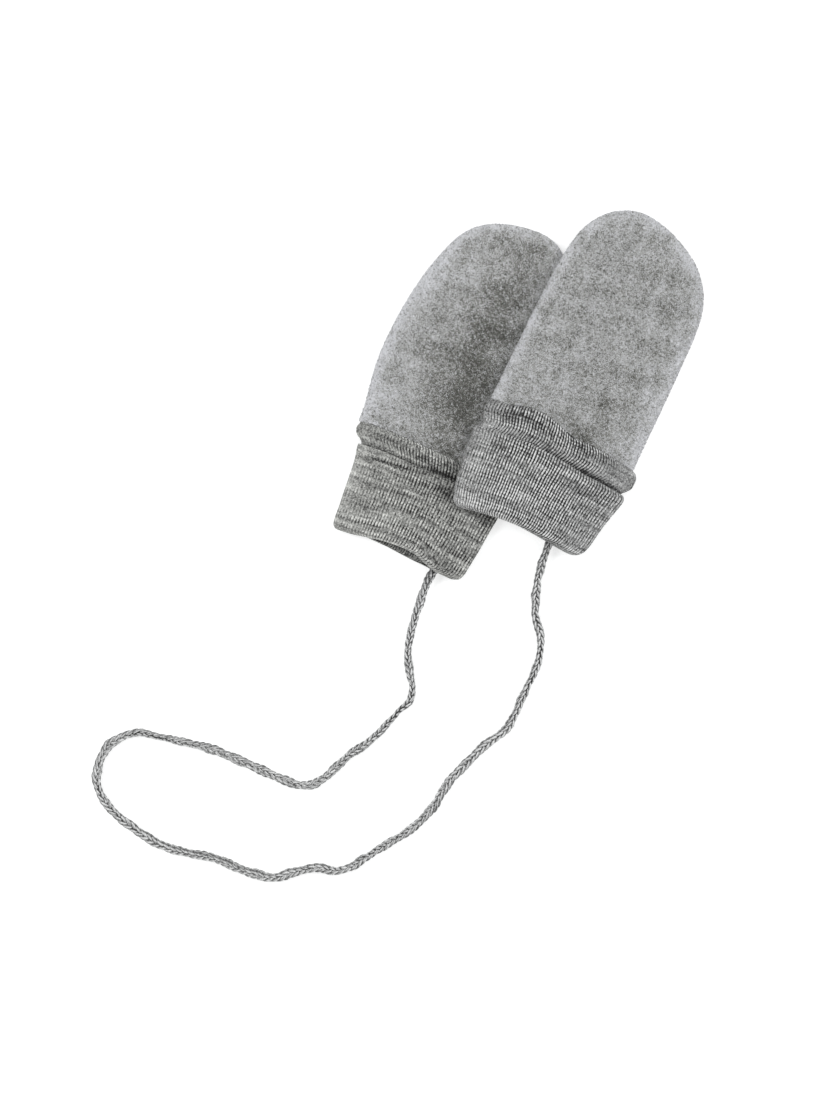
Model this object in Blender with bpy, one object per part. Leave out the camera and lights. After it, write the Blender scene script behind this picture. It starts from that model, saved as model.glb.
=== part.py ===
# A pair of thumbless baby mittens laid flat, the right one partly on the left one.
# Each has two brushed fleece panels and a rib cuff turned up once; one plaited cord joins them.
#
# Tables are in millimetres, in each mitten's own frame: X across it, Y from the mouth of the
# cuff up to the tip, Z up from the surface it lies on. West is the -X side and east the +X side.
# "Up" is the height on a cuff or a hand before its edges are made wavy.

import math
from collections import namedtuple
from types import SimpleNamespace

import bpy
import numpy as np

MM = 0.001

# Cloth
FLEECE = 2.5            # brushed fleece wall
RIB = 1.2               # rib knit wall, without its ribs
RIB_RISE = 0.35         # how far a rib stands above the wall
RIBS = 50               # ribs over the front of one cuff
GAP = 0.3               # between pieces at a seam and between turned layers
EDGE_ROUND = 3.2        # radius over which a fleece edge rounds down to its seam
WRIST_DIP = 0.9         # how far the fleece is drawn down at the wrist seam
PILLOW = 26.0           # distance from the edge over which the front swells

# Columns of a panel, in from its outline, and the rays of its tip
INSETS = (0.0, 0.4, 1.3, 3.2, 7.0, 11.0, 15.0, 20.0, 25.5, 31.0)
FLAT_INSETS = (0.0, 0.4, 1.3, 3.2)
RAYS = 16

# Cord
CORD_WIDTH = 3.5
CORD_REST = 1.85        # its centre above the surface
CORD_INSIDE = 4.75      # its centre between the layers of a mouth
CORD_STEP = 7.6         # between the points of the tube
CORD_ROOM = 4.1         # clear height that it needs between the layers
CORD_SPREAD = 8.0       # half width of the swelling over it
CORD_HIDDEN = (14.0, 27.0)   # the swelling ends between these heights
CORD_DROP = (17.0, 31.0)     # it comes down to the surface between these lengths from an end

Point = namedtuple("Point", "across up")
Section = namedtuple("Section", "up west east lift room")
Line = namedtuple("Line", "across mouth under turn wrist")
Swell = namedtuple("Swell", "up rise")
Fold = namedtuple("Fold", "across up angle length width rise")
Shelf = namedtuple("Shelf", "up edge height")

# outline: the fleece from the west wrist over the tip to the east wrist
# cuff:    the inner layer's outer face; lift is its underside, room the clear height inside
# lines:   front mouth, back mouth, turned-up edge and wrist seam, read across the cuff
# swell:   how far the middle of the front stands off the back
# folds:   soft ridges (rise above 0) and troughs in the front
# shelf:   what the mitten lies on: full height up to the edge, then down to the surface
LEFT = SimpleNamespace(
    name="left",
    place=(-24.8, -95.03),
    outline=[
        Point(-38.0, 46.0), Point(-38.0, 51.0), Point(-38.6, 58.0), Point(-40.4, 68.0),
        Point(-41.9, 80.0), Point(-42.0, 92.0), Point(-41.3, 104.0), Point(-39.5, 118.0),
        Point(-36.3, 132.3), Point(-30.6, 147.4), Point(-25.0, 154.3), Point(-16.9, 159.4),
        Point(-6.0, 162.6), Point(3.0, 163.6), Point(11.1, 162.3), Point(16.9, 158.6),
        Point(22.0, 151.0), Point(26.4, 140.0), Point(29.2, 127.0), Point(31.0, 110.0),
        Point(32.0, 92.0), Point(33.2, 72.0), Point(35.0, 56.0), Point(36.2, 46.0),
    ],
    tip=Point(-2.0, 124.0),
    turn=39.5,
    wrist=49.5,
    cuff=[
        Section(0.0, -26.0, 31.0, 1.5, 0.5), Section(1.4, -27.0, 33.6, 1.5, 0.7),
        Section(4.0, -27.7, 35.0, 1.5, 0.9), Section(9.0, -28.1, 35.7, 1.5, 1.1),
        Section(18.0, -29.1, 36.8, 1.5, 1.3), Section(28.0, -30.1, 37.7, 1.5, 1.3),
        Section(34.0, -31.0, 38.4, 1.5, 1.1), Section(37.6, -32.0, 38.8, 1.5, 0.9),
        Section(39.5, -32.2, 38.8, 1.5, 0.8), Section(41.5, -33.7, 39.2, 1.2, 1.2),
        Section(44.0, -36.7, 40.2, 0.6, 2.0), Section(46.3, -37.6, 39.6, 0.4, 2.2),
        Section(48.3, -37.0, 37.2, 0.5, 1.7), Section(49.5, -37.0, 35.4, 0.7, 1.4),
    ],
    lines=[
        Line(-38.0, -1.4, -1.4, 38.4, 48.7), Line(-28.0, -1.9, -1.9, 39.6, 50.0),
        Line(-20.0, -1.2, -1.2, 40.3, 50.2), Line(-11.0, 0.7, 0.5, 40.5, 50.5),
        Line(-3.0, 2.3, 0.5, 40.6, 50.4), Line(6.0, 3.0, 0.0, 40.8, 50.4),
        Line(12.0, 2.6, -0.3, 41.0, 50.3), Line(18.0, 0.6, -0.4, 41.0, 50.2),
        Line(25.0, -0.9, -0.9, 40.6, 50.0), Line(36.0, -1.0, -1.0, 39.4, 49.4),
    ],
    swell=[Swell(46.0, 1.5), Swell(60.0, 2.6), Swell(85.0, 3.3), Swell(125.0, 3.2)],
    pressed=(3.0, 13.0, 20.0, 28.0),
    cord_across=23.4,
    folds=[
        Fold(-18.0, 36.6, 4.0, 13.0, 1.1, -0.45), Fold(-4.0, 20.0, 3.0, 24.0, 4.0, 0.35),
        Fold(-20.0, 12.0, -6.0, 14.0, 3.0, -0.3), Fold(2.0, 44.0, 2.0, 20.0, 2.0, 0.4),
    ],
    shelf=[],
)

RIGHT = SimpleNamespace(
    name="right",
    place=(27.2, -61.03),
    outline=[
        Point(-38.2, 45.0), Point(-38.0, 51.0), Point(-37.6, 64.0), Point(-37.2, 80.0),
        Point(-36.8, 96.0), Point(-36.2, 109.0), Point(-35.3, 121.5), Point(-34.0, 131.0),
        Point(-31.8, 139.3), Point(-28.4, 146.0), Point(-23.2, 151.9), Point(-17.2, 155.8),
        Point(-8.8, 157.9), Point(2.0, 156.5), Point(14.0, 151.9), Point(23.4, 146.0),
        Point(29.0, 140.0), Point(33.0, 133.6), Point(35.5, 126.0), Point(36.6, 116.0),
        Point(36.9, 100.0), Point(36.8, 78.0), Point(36.5, 60.0), Point(36.5, 43.0),
    ],
    tip=Point(-1.0, 116.0),
    turn=36.0,
    wrist=49.5,
    cuff=[
        Section(0.0, -31.0, 25.0, 1.5, 0.5), Section(1.4, -32.6, 27.8, 1.5, 0.7),
        Section(4.0, -33.6, 29.8, 1.5, 0.9), Section(8.0, -35.0, 31.1, 1.5, 1.1),
        Section(15.0, -35.8, 32.3, 1.5, 1.3), Section(24.0, -36.9, 34.3, 1.5, 1.3),
        Section(30.0, -37.3, 35.9, 1.5, 1.1), Section(33.5, -37.5, 36.6, 1.5, 0.9),
        Section(36.0, -37.4, 35.7, 1.5, 0.8), Section(38.3, -37.5, 37.6, 1.2, 1.3),
        Section(41.5, -38.2, 39.5, 0.6, 2.3), Section(45.0, -38.9, 39.6, 0.4, 2.5),
        Section(48.0, -38.7, 38.1, 0.5, 1.9), Section(49.5, -38.0, 36.4, 0.7, 1.4),
    ],
    lines=[
        Line(-38.0, -2.0, -2.0, 35.8, 49.4), Line(-30.0, -2.8, -2.8, 37.2, 50.2),
        Line(-24.0, -1.8, -1.8, 37.7, 51.9), Line(-17.0, -0.7, -0.7, 37.9, 53.3),
        Line(-10.0, 0.2, 0.2, 37.9, 52.8), Line(-2.0, 0.6, 0.6, 37.4, 50.8),
        Line(5.0, 0.3, 0.3, 36.7, 48.6), Line(11.0, -0.2, -0.2, 36.1, 48.9),
        Line(18.0, -0.9, -0.9, 35.3, 48.8), Line(26.0, -1.4, -1.4, 34.8, 47.8),
        Line(37.0, -0.8, -0.8, 33.9, 46.4),
    ],
    swell=[Swell(46.0, 1.6), Swell(60.0, 2.7), Swell(85.0, 3.3), Swell(118.0, 3.2)],
    pressed=None,
    cord_across=15.2,
    folds=[
        Fold(5.0, 47.0, -20.0, 7.0, 2.2, -0.9), Fold(-24.0, 41.8, 3.0, 15.0, 1.2, -0.5),
        Fold(-14.0, 45.5, 6.0, 12.0, 2.4, 0.5), Fold(-28.0, 31.6, 3.0, 14.0, 1.4, -0.35),
        Fold(2.0, 17.0, -3.0, 26.0, 4.5, 0.35), Fold(18.0, 40.5, -6.0, 14.0, 2.5, 0.5),
    ],
    shelf=[
        Shelf(-8.0, -11.5, 6.7), Shelf(2.0, -11.2, 6.7), Shelf(12.0, -11.2, 6.6),
        Shelf(19.0, -14.0, 6.0), Shelf(27.0, -16.6, 5.8), Shelf(50.0, -19.0, 5.8),
        Shelf(79.0, -21.0, 5.8), Shelf(94.0, -22.8, 5.8), Shelf(107.0, -25.4, 5.8),
        Shelf(117.5, -29.8, 5.8), Shelf(125.0, -34.0, 5.7), Shelf(136.0, -35.0, 3.6),
        Shelf(150.0, -35.0, 1.2), Shelf(160.0, -35.0, 0.7),
    ],
)
SHELF_RUN = 24.0        # how far the cloth takes to come down from the shelf

# The cord's route in the pair's frame, from the left mouth to the right mouth
CORD_ROUTE = [
    Point(-1.0, -83.2), Point(-2.1, -104.8), Point(0.3, -125.0), Point(2.8, -135.2),
    Point(13.2, -153.8), Point(10.2, -164.0), Point(3.5, -182.1), Point(-1.8, -190.3),
    Point(-9.0, -206.8), Point(-15.7, -212.6), Point(-39.8, -214.1), Point(-60.8, -214.8),
    Point(-87.9, -220.1), Point(-97.1, -222.4), Point(-106.7, -234.6), Point(-105.1, -249.5),
    Point(-99.4, -256.4), Point(-87.7, -261.8), Point(-63.1, -265.5), Point(-39.6, -260.8),
    Point(-22.9, -260.0), Point(-10.5, -257.7), Point(-4.9, -253.0), Point(7.6, -244.2),
    Point(13.0, -243.2), Point(20.0, -238.7), Point(25.3, -230.3), Point(38.2, -211.1),
    Point(43.2, -199.3), Point(45.8, -183.1), Point(53.8, -160.8), Point(60.1, -148.0),
    Point(60.5, -131.3), Point(60.4, -113.9), Point(55.9, -101.8), Point(50.3, -95.1),
    Point(42.9, -72.4), Point(42.1, -49.0),
]

# Cloth colours, linear
COLOURS = {"fleece": (0.34, 0.35, 0.345), "rib": (0.25, 0.255, 0.25), "cord": (0.33, 0.335, 0.33)}


def smooth(start, end, value):
    t = np.clip((np.asarray(value, float) - start) / (end - start), 0.0, 1.0)
    return t * t * (3.0 - 2.0 * t)


def read(rows, key, column, at):
    """A column of a table where its key column has the value at, on a curve with no overshoot."""
    x = np.array([getattr(row, key) for row in rows], float)
    v = np.array([getattr(row, column) for row in rows], float)
    at = np.clip(np.asarray(at, float), x[0], x[-1])
    i = np.clip(np.searchsorted(x, at, side="right") - 1, 0, len(x) - 2)
    slope = np.diff(v) / np.diff(x)
    tangent = np.concatenate(([slope[0]], np.zeros(len(x) - 2), [slope[-1]]))
    same = slope[:-1] * slope[1:] > 0
    total = np.where(same, slope[:-1] + slope[1:], 1.0)
    tangent[1:-1] = np.where(same, 2.0 * slope[:-1] * slope[1:] / total, 0.0)
    h = x[i + 1] - x[i]
    t = (at - x[i]) / h
    rise = v[i + 1] - v[i]
    bend_a = h * tangent[i] - rise
    bend_b = rise - h * tangent[i + 1]
    return v[i] + t * rise + t * (1 - t) * ((1 - t) * bend_a + t * bend_b)


def curve_through(points, per_span):
    """Points on a smooth curve through the given ones (centripetal Catmull-Rom)."""
    p = np.array(points, float)
    p = np.vstack([2 * p[0] - p[1], p, 2 * p[-1] - p[-2]])
    out = []
    for a, b, c, d in zip(p[:-3], p[1:-2], p[2:-1], p[3:]):
        k = np.cumsum([0.0] + [math.sqrt(np.linalg.norm(w - v)) for v, w in ((a, b), (b, c), (c, d))])
        for t in np.linspace(k[1], k[2], per_span, endpoint=False):
            ab = a + (b - a) * (t - k[0]) / (k[1] - k[0])
            bc = b + (c - b) * (t - k[1]) / (k[2] - k[1])
            cd = c + (d - c) * (t - k[2]) / (k[3] - k[2])
            abc = ab + (bc - ab) * (t - k[0]) / (k[2] - k[0])
            bcd = bc + (cd - bc) * (t - k[1]) / (k[3] - k[1])
            out.append(abc + (bcd - abc) * (t - k[1]) / (k[2] - k[1]))
    out.append(p[-2])
    return np.array(out)


def fold_height(mitten, x, y):
    """Sum of the mitten's soft ridges and troughs."""
    total = np.zeros(np.broadcast(x, y).shape)
    for fold in mitten.folds:
        angle = math.radians(fold.angle)
        dx = x - fold.across
        dy = y - fold.up
        along = dx * math.cos(angle) + dy * math.sin(angle)
        off = dy * math.cos(angle) - dx * math.sin(angle)
        total = total + fold.rise * np.exp(-(2 * along / fold.length) ** 2 - (off / fold.width) ** 2)
    return total


def shelf_height(mitten, x, y):
    """How high the mitten's underside is above the surface."""
    if not mitten.shelf:
        return np.zeros(np.broadcast(x, y).shape)
    edge = read(mitten.shelf, "up", "edge", y)
    height = read(mitten.shelf, "up", "height", y)
    return height * (1.0 - smooth(0.0, SHELF_RUN, x - edge))


def pressed(mitten, x, y):
    """1 where the mitten swells freely, 0 where the other one lies on it."""
    if mitten.pressed is None:
        return np.ones(np.broadcast(x, y).shape)
    west, east, low, high = mitten.pressed
    return 1.0 - smooth(west, east, x) * smooth(low, high, y)


def wave(mitten, x, up, front):
    """How far a point of a cuff or a hand is moved along Y by the wavy edges."""
    mouth = read(mitten.lines, "across", "mouth", x)
    under = read(mitten.lines, "across", "under", x)
    at_mouth = front * mouth + (1.0 - front) * under
    at_turn = read(mitten.lines, "across", "turn", x) - mitten.turn
    ends = (mitten.lines[0], mitten.lines[-1])
    straight = np.interp(x, [end.across for end in ends], [end.wrist for end in ends])
    at_wrist = front * read(mitten.lines, "across", "wrist", x) + (1.0 - front) * straight - mitten.wrist
    low = np.clip(up / mitten.turn, 0.0, 1.0)
    high = np.clip((up - mitten.turn) / (mitten.wrist - mitten.turn), 0.0, 1.0)
    fade = 1.0 - smooth(mitten.wrist, mitten.wrist + 22.0, up)
    return (at_mouth * (1 - low) + (at_turn * (1 - high) + at_wrist * high) * low) * fade


def swell(mitten, x, y, inset):
    """How far the front stands off the back, by the distance in from the outline."""
    rise = read(mitten.swell, "up", "rise", y)
    t = np.clip((inset - 2.0) / PILLOW, 0.0, 1.0)
    return rise * t * (2.0 - t) * pressed(mitten, x, y)


def hand_room(mitten, x, up, west, east):
    """Clear height between the cuff's front and back."""
    middle = (west + east) / 2
    across = np.clip((x - middle) / ((east - west) / 2), -1.0, 1.0)
    at_wrist = swell(mitten, x, mitten.wrist, (1 - np.abs(across)) * (east - west) / 2)
    near_wrist = smooth(mitten.turn + 3.0, mitten.wrist, up)
    opened = read(mitten.cuff, "up", "room", up) * (1 - across ** 2) * (1 - near_wrist)
    room = 0.5 + opened * pressed(mitten, x, up) + near_wrist * (0.6 + at_wrist)
    off = np.exp(-((x - mitten.cord_across) / CORD_SPREAD) ** 2)
    near_cord = off * (1.0 - smooth(*CORD_HIDDEN, up))
    return room + np.maximum(CORD_ROOM - room, 0.0) * near_cord


def cuff_ring(mitten, up, out, turns, rib):
    """One ring of a cuff, out from the inner layer's outer face.

    A turn of 0 to 1 runs over the front from west to east, 1 to 2 back under it."""
    row = {name: float(read(mitten.cuff, "up", name, up)) for name in ("west", "east", "lift")}
    west = row["west"] - out
    east = row["east"] + out
    low = row["lift"] - out

    def top(x):
        return row["lift"] + 2 * RIB + hand_room(mitten, x, up, row["west"], row["east"]) + out

    radius = [(float(top(x)) - low) / 2 for x in (west + 2.5, east - 2.5)]
    flat = east - west - sum(radius)
    arcs = [r * math.pi / 2 for r in radius]
    length = arcs[0] + flat + arcs[1]
    points = []
    for turn in turns:
        under = turn > 1.0
        run = (2.0 - turn if under else turn) * length
        if run < arcs[0]:
            angle = run / radius[0]
            x = west + radius[0] * (1 - math.cos(angle))
            height = math.sin(angle)
            normal = (-math.cos(angle), height)
        elif run > arcs[0] + flat:
            angle = (length - run) / radius[1]
            x = east - radius[1] * (1 - math.cos(angle))
            height = math.sin(angle)
            normal = (math.cos(angle), height)
        else:
            x = west + radius[0] + run - arcs[0]
            height = 1.0
            normal = (0.0, 1.0)
        side = -1.0 if under else 1.0
        front = 0.5 + 0.5 * side * height
        middle = (float(top(x)) + low) / 2
        z = middle + side * height * (float(top(x)) - low) / 2
        rise = 0.0 if under else rib_height(turn) * rib
        x += normal[0] * rise
        z += normal[1] * rise
        y = up + float(wave(mitten, x, up, front))
        z += float(fold_height(mitten, x, up)) * front * smooth(0.0, 1.0, height)
        z += float(shelf_height(mitten, x, y))
        points.append((x, y, z))
    return points


def rib_height(turn):
    """A rib is highest in its middle, and the wall is plain between two ribs."""
    return RIB_RISE * (1.0 - abs(2.0 * ((turn * RIBS) % 1.0) - 1.0))


def stitch(faces, ring_a, turns_a, ring_b, turns_b):
    """Join two closed rings of vertex numbers whose points have their own spacing."""
    count_a = len(ring_a)
    count_b = len(ring_b)
    if count_a == count_b:
        for k in range(count_a):
            m = (k + 1) % count_a
            faces.append((ring_a[k], ring_a[m], ring_b[m], ring_b[k]))
        return
    a = b = 0
    while a < count_a or b < count_b:
        next_a = turns_a[a + 1] if a + 1 < count_a else 2.0
        next_b = turns_b[b + 1] if b + 1 < count_b else 2.0
        if b == count_b or (a < count_a and next_a <= next_b):
            faces.append((ring_a[a], ring_a[(a + 1) % count_a], ring_b[b % count_b]))
            a += 1
        else:
            faces.append((ring_a[a % count_a], ring_b[(b + 1) % count_b], ring_b[b]))
            b += 1


def cuff_rings(mitten):
    """Height, distance out and rib share of each ring, round the wall's closed section."""
    turn = mitten.turn
    wrist = mitten.wrist - GAP / 2
    over = RIB + GAP
    bend = (over + RIB) / 2
    rings = [(up, over, 1.0) for up in (bend, 5.0, 14.0, 24.0, turn - 4.0, turn - 0.5)]
    rings += [(turn, over - 0.35, 0.4), (turn, GAP, None)]
    plain = (30.0, 20.0, 13.0, bend)
    rings += [(up, GAP, None) for up in plain]
    rings += [(up, 0.0, None) for up in plain[::-1]]
    rings += [(turn, 0.0, None)]
    band = wrist - turn
    rings += [(turn + share * band, 0.0, 1.0) for share in (0.09, 0.28, 0.5, 0.75, 1.0)]
    rings += [(up, -RIB, None) for up in (wrist, turn + 0.5 * band, turn)]
    rings += [(up, -RIB, None) for up in plain]
    for degrees, rib in ((144, None), (108, 0.3), (72, 0.8), (36, 1.0)):
        angle = math.radians(degrees)
        rings.append((bend * (1 - math.sin(angle)), over - bend + bend * math.cos(angle), rib))
    return rings


def build_cuff(mitten):
    front_ribbed = [k / (2 * RIBS) for k in range(2 * RIBS)]
    front_plain = [k / 20 for k in range(20)]
    back = [1.0 + k / 16 for k in range(16)]
    spacing = {True: front_ribbed + back, False: front_plain + back}
    verts = []
    faces = []
    loops = []
    for up, out, rib in cuff_rings(mitten):
        turns = spacing[rib is not None]
        loops.append((list(range(len(verts), len(verts) + len(turns))), turns))
        verts += cuff_ring(mitten, up, out, turns, rib or 0.0)
    for (ring_a, turns_a), (ring_b, turns_b) in zip(loops, loops[1:] + loops[:1]):
        stitch(faces, ring_a, turns_a, ring_b, turns_b)
    return add_piece(mitten.name + "_cuff", mitten.place, verts, faces, "rib")


def panel_grid(mitten):
    """Plan of a fleece panel: rows from the outline in to the middle line.

    Gives rows of (x, up, inset) and, for each row, the key of its last point."""
    edge = curve_through(mitten.outline, 24)
    top = int(np.argmax(edge[:, 1]))
    tip = mitten.tip
    start = mitten.wrist + GAP / 2
    stations = [start + step for step in (0.0, 1.0, 3.5, 12.0, 24.0, 38.0, 52.0)]
    stations.append(tip.up)
    wrist_middle = (edge[0, 0] + edge[-1, 0]) / 2
    spine = [wrist_middle + (tip.across - wrist_middle) * smooth(start, tip.up, y) for y in stations]
    rows = []
    for k, y in enumerate(stations):
        x = np.interp(y, edge[:top, 1], edge[:top, 0])
        rows.append(((x, y), (float(spine[k]), y), k))
    lean = np.arctan2(edge[:, 0] - tip.across, edge[:, 1] - tip.up)
    reach = np.hypot(edge[:, 0] - tip.across, edge[:, 1] - tip.up)
    for ray in range(1, RAYS):
        a = math.pi * (ray / RAYS - 0.5)
        r = float(np.interp(a, lean, reach))
        rim = (tip.across + r * math.sin(a), tip.up + r * math.cos(a))
        rows.append((rim, tuple(tip), len(stations) - 1))
    for k in range(len(stations) - 1, -1, -1):
        y = stations[k]
        x = np.interp(y, edge[top:, 1][::-1], edge[top:, 0][::-1])
        rows.append(((x, y), (float(spine[k]), y), k))
    return rows


def build_panel(mitten, side):
    """A front or back panel: an outer and an inner face that meet at the outline and the wrist."""
    rows = panel_grid(mitten)
    verts = []
    index = {}

    def vertex(key, x, up, inset, outer):
        if key not in index:
            index[key] = len(verts)
            verts.append(panel_point(mitten, side, x, up, inset, outer))
        return index[key]

    insets = FLAT_INSETS if side == "back" and not mitten.shelf else INSETS
    faces = []
    grids = {}
    for outer in (True, False):
        grid = []
        for r, (rim, middle, station) in enumerate(rows):
            span = math.dist(rim, middle)
            line = []
            for c, inset in enumerate(insets + (span,)):
                share = inset / span
                x = rim[0] + (middle[0] - rim[0]) * share
                up = rim[1] + (middle[1] - rim[1]) * share
                key = (outer, "middle", station) if inset == span else (outer, r, c)
                if c == 0:
                    key = ("rim", r)
                line.append(vertex(key, x, up, inset, outer))
            grid.append(line)
        grids[outer] = grid
        flip = outer != (side == "front")
        for line_a, line_b in zip(grid, grid[1:]):
            for c in range(len(line_a) - 1):
                face = [line_a[c], line_b[c], line_b[c + 1], line_a[c + 1]]
                face = list(dict.fromkeys(face))
                faces.append(face if flip else face[::-1])
    for r, reverse in ((0, False), (-1, True)):
        outer_line = grids[True][r]
        inner_line = grids[False][r]
        for c in range(len(outer_line) - 1):
            face = [outer_line[c], outer_line[c + 1], inner_line[c + 1], inner_line[c]]
            face = list(dict.fromkeys(face))
            faces.append(face if reverse == (side == "front") else face[::-1])
    return add_piece(mitten.name + "_" + side, mitten.place, verts, faces, "fleece")


def panel_point(mitten, side, x, up, inset, outer):
    t = min(inset / EDGE_ROUND, 1.0)
    rounding = math.sqrt(1.0 - (1.0 - t) ** 2)
    drawn = 1.0 - float(smooth(0.0, 3.5, up - mitten.wrist))
    y = up + float(wave(mitten, x, up, 1.0 if side == "front" else 0.0))
    if side == "front":
        z = FLEECE + GAP + float(swell(mitten, x, up, inset))
        if outer:
            z += FLEECE * rounding - WRIST_DIP * drawn * t
            z += float(fold_height(mitten, x, up)) * t
    else:
        z = FLEECE
        if outer:
            z -= (FLEECE - 0.5 * drawn) * rounding
    return (x, y, z + float(shelf_height(mitten, x, y)))


def build_cord():
    """A tube along the route, from inside one mouth to inside the other."""
    path = curve_through([tuple(point) for point in CORD_ROUTE], 20)
    run = np.concatenate(([0.0], np.cumsum(np.linalg.norm(np.diff(path, axis=0), axis=1))))
    count = int(round(run[-1] / CORD_STEP)) + 1
    at = np.linspace(0.0, run[-1], count)
    x = np.interp(at, run, path[:, 0])
    y = np.interp(at, run, path[:, 1])
    ends = np.minimum(at, run[-1] - at)
    z = CORD_REST + (CORD_INSIDE - CORD_REST) * (1.0 - smooth(*CORD_DROP, ends))
    curve = bpy.data.curves.new("cord", "CURVE")
    curve.dimensions = "3D"
    curve.bevel_depth = CORD_WIDTH / 2 * MM
    curve.bevel_resolution = 2
    curve.use_fill_caps = True
    spline = curve.splines.new("POLY")
    spline.points.add(count - 1)
    for point, co in zip(spline.points, zip(x, y, z)):
        point.co = (co[0] * MM, co[1] * MM, co[2] * MM, 1.0)
    cord = bpy.data.objects.new("cord", curve)
    bpy.context.scene.collection.objects.link(cord)
    curve.materials.append(cloth("cord"))
    return cord


def cloth(kind):
    """The Principled material of one cloth."""
    material = bpy.data.materials.get(kind)
    if material is None:
        material = bpy.data.materials.new(kind)
        material.use_nodes = True
        shader = material.node_tree.nodes["Principled BSDF"]
        shader.inputs["Base Color"].default_value = (*COLOURS[kind], 1.0)
        shader.inputs["Roughness"].default_value = 0.95
        shader.inputs["Metallic"].default_value = 0.0
    return material


def add_piece(name, place, verts, faces, kind):
    mesh = bpy.data.meshes.new(name)
    mesh.from_pydata([(x * MM, y * MM, z * MM) for x, y, z in verts], [], faces)
    mesh.materials.append(cloth(kind))
    mesh.shade_smooth()
    mesh.set_sharp_from_angle(angle=math.radians(30))
    piece = bpy.data.objects.new(name, mesh)
    piece.location = (place[0] * MM, place[1] * MM, 0.0)
    bpy.context.scene.collection.objects.link(piece)
    return piece


def main():
    for old in list(bpy.data.objects):
        bpy.data.objects.remove(old, do_unlink=True)
    pair = bpy.data.objects.new("pair", None)
    bpy.context.scene.collection.objects.link(pair)
    pieces = []
    for mitten in (LEFT, RIGHT):
        pieces += [build_panel(mitten, "back"), build_panel(mitten, "front"), build_cuff(mitten)]
    pieces.append(build_cord())
    for piece in pieces:
        piece.parent = pair


main()
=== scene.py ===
import math
from collections import namedtuple

import bpy
import numpy as np
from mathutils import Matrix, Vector


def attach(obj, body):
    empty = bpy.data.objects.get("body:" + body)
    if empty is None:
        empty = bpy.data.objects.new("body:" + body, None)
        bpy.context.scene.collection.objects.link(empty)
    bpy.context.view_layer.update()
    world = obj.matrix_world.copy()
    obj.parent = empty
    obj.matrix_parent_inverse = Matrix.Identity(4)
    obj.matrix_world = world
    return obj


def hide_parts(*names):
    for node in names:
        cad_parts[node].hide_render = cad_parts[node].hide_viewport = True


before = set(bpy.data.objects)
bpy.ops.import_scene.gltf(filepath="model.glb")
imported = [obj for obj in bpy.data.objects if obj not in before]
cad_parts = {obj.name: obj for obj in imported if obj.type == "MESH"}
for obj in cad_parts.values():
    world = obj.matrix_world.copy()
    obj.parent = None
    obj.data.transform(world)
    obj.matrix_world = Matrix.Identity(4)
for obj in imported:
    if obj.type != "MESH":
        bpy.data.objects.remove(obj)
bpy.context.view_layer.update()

# A pair of thumbless baby mittens laid flat, brushed fleece hands on turned-up rib cuffs,
# the right one partly on the left one, joined by a plaited cord.
# Tables are in millimetres. Each mitten has its own frame: across it, up from the mouth of the
# cuff to the tip, and height off the surface. West is its -X side and east its +X side.

mm = 0.001
outlinePoint = namedtuple("outlinePoint", "across up")
cuffSection = namedtuple("cuffSection", "up west east lift room")
clothLine = namedtuple("clothLine", "across mouth under turn wrist")
handSwell = namedtuple("handSwell", "up rise")
softFold = namedtuple("softFold", "across up angle length width rise")
shelfStep = namedtuple("shelfStep", "up edge height")
ribClear = namedtuple("ribClear", "across share")
clothRing = namedtuple("clothRing", "up out ribShare stitch slant")
plaitGirth = namedtuple("plaitGirth", "run share")
mouthBend = namedtuple("mouthBend", "degrees ribShare stitch")

scene = bpy.context.scene
scene.view_settings.view_transform = "Standard"


# rows with the named columns of their kind
def table(kind, values):
    return [kind(*each) for each in values]


def smoothStep(start, end, value):
    t = np.clip((np.asarray(value, float) - start) / (end - start), 0.0, 1.0)
    return t * t * (3.0 - 2.0 * t)


# a table's column where its key column has the value at, on a curve with no overshoot
def readTable(rows, key, column, at):
    x = np.array([getattr(row, key) for row in rows], float)
    v = np.array([getattr(row, column) for row in rows], float)
    at = np.clip(np.asarray(at, float), x[0], x[-1])
    i = np.clip(np.searchsorted(x, at, side="right") - 1, 0, len(x) - 2)
    slope = np.diff(v) / np.diff(x)
    tangent = np.concatenate(([slope[0]], np.zeros(len(x) - 2), [slope[-1]]))
    same = slope[:-1] * slope[1:] > 0
    total = np.where(same, slope[:-1] + slope[1:], 1.0)
    tangent[1:-1] = np.where(same, 2.0 * slope[:-1] * slope[1:] / total, 0.0)
    h = x[i + 1] - x[i]
    t = (at - x[i]) / h
    rise = v[i + 1] - v[i]
    bendA = h * tangent[i] - rise
    bendB = rise - h * tangent[i + 1]
    return v[i] + t * rise + t * (1 - t) * ((1 - t) * bendA + t * bendB)


# points on a smooth curve through the given ones
def curveThrough(points, perSpan):
    p = np.array(points, float)
    p = np.vstack([2 * p[0] - p[1], p, 2 * p[-1] - p[-2]])
    out = []
    for a, b, c, d in zip(p[:-3], p[1:-2], p[2:-1], p[3:]):
        spans = [math.sqrt(np.linalg.norm(w - v)) for v, w in ((a, b), (b, c), (c, d))]
        k = np.cumsum([0.0] + spans)
        for t in np.linspace(k[1], k[2], perSpan, endpoint=False):
            ab = a + (b - a) * (t - k[0]) / (k[1] - k[0])
            bc = b + (c - b) * (t - k[1]) / (k[2] - k[1])
            cd = c + (d - c) * (t - k[2]) / (k[3] - k[2])
            abc = ab + (bc - ab) * (t - k[0]) / (k[2] - k[0])
            bcd = bc + (cd - bc) * (t - k[1]) / (k[3] - k[1])
            out.append(abc + (bcd - abc) * (t - k[1]) / (k[2] - k[1]))
    out.append(p[-2])
    return np.array(out)


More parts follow.
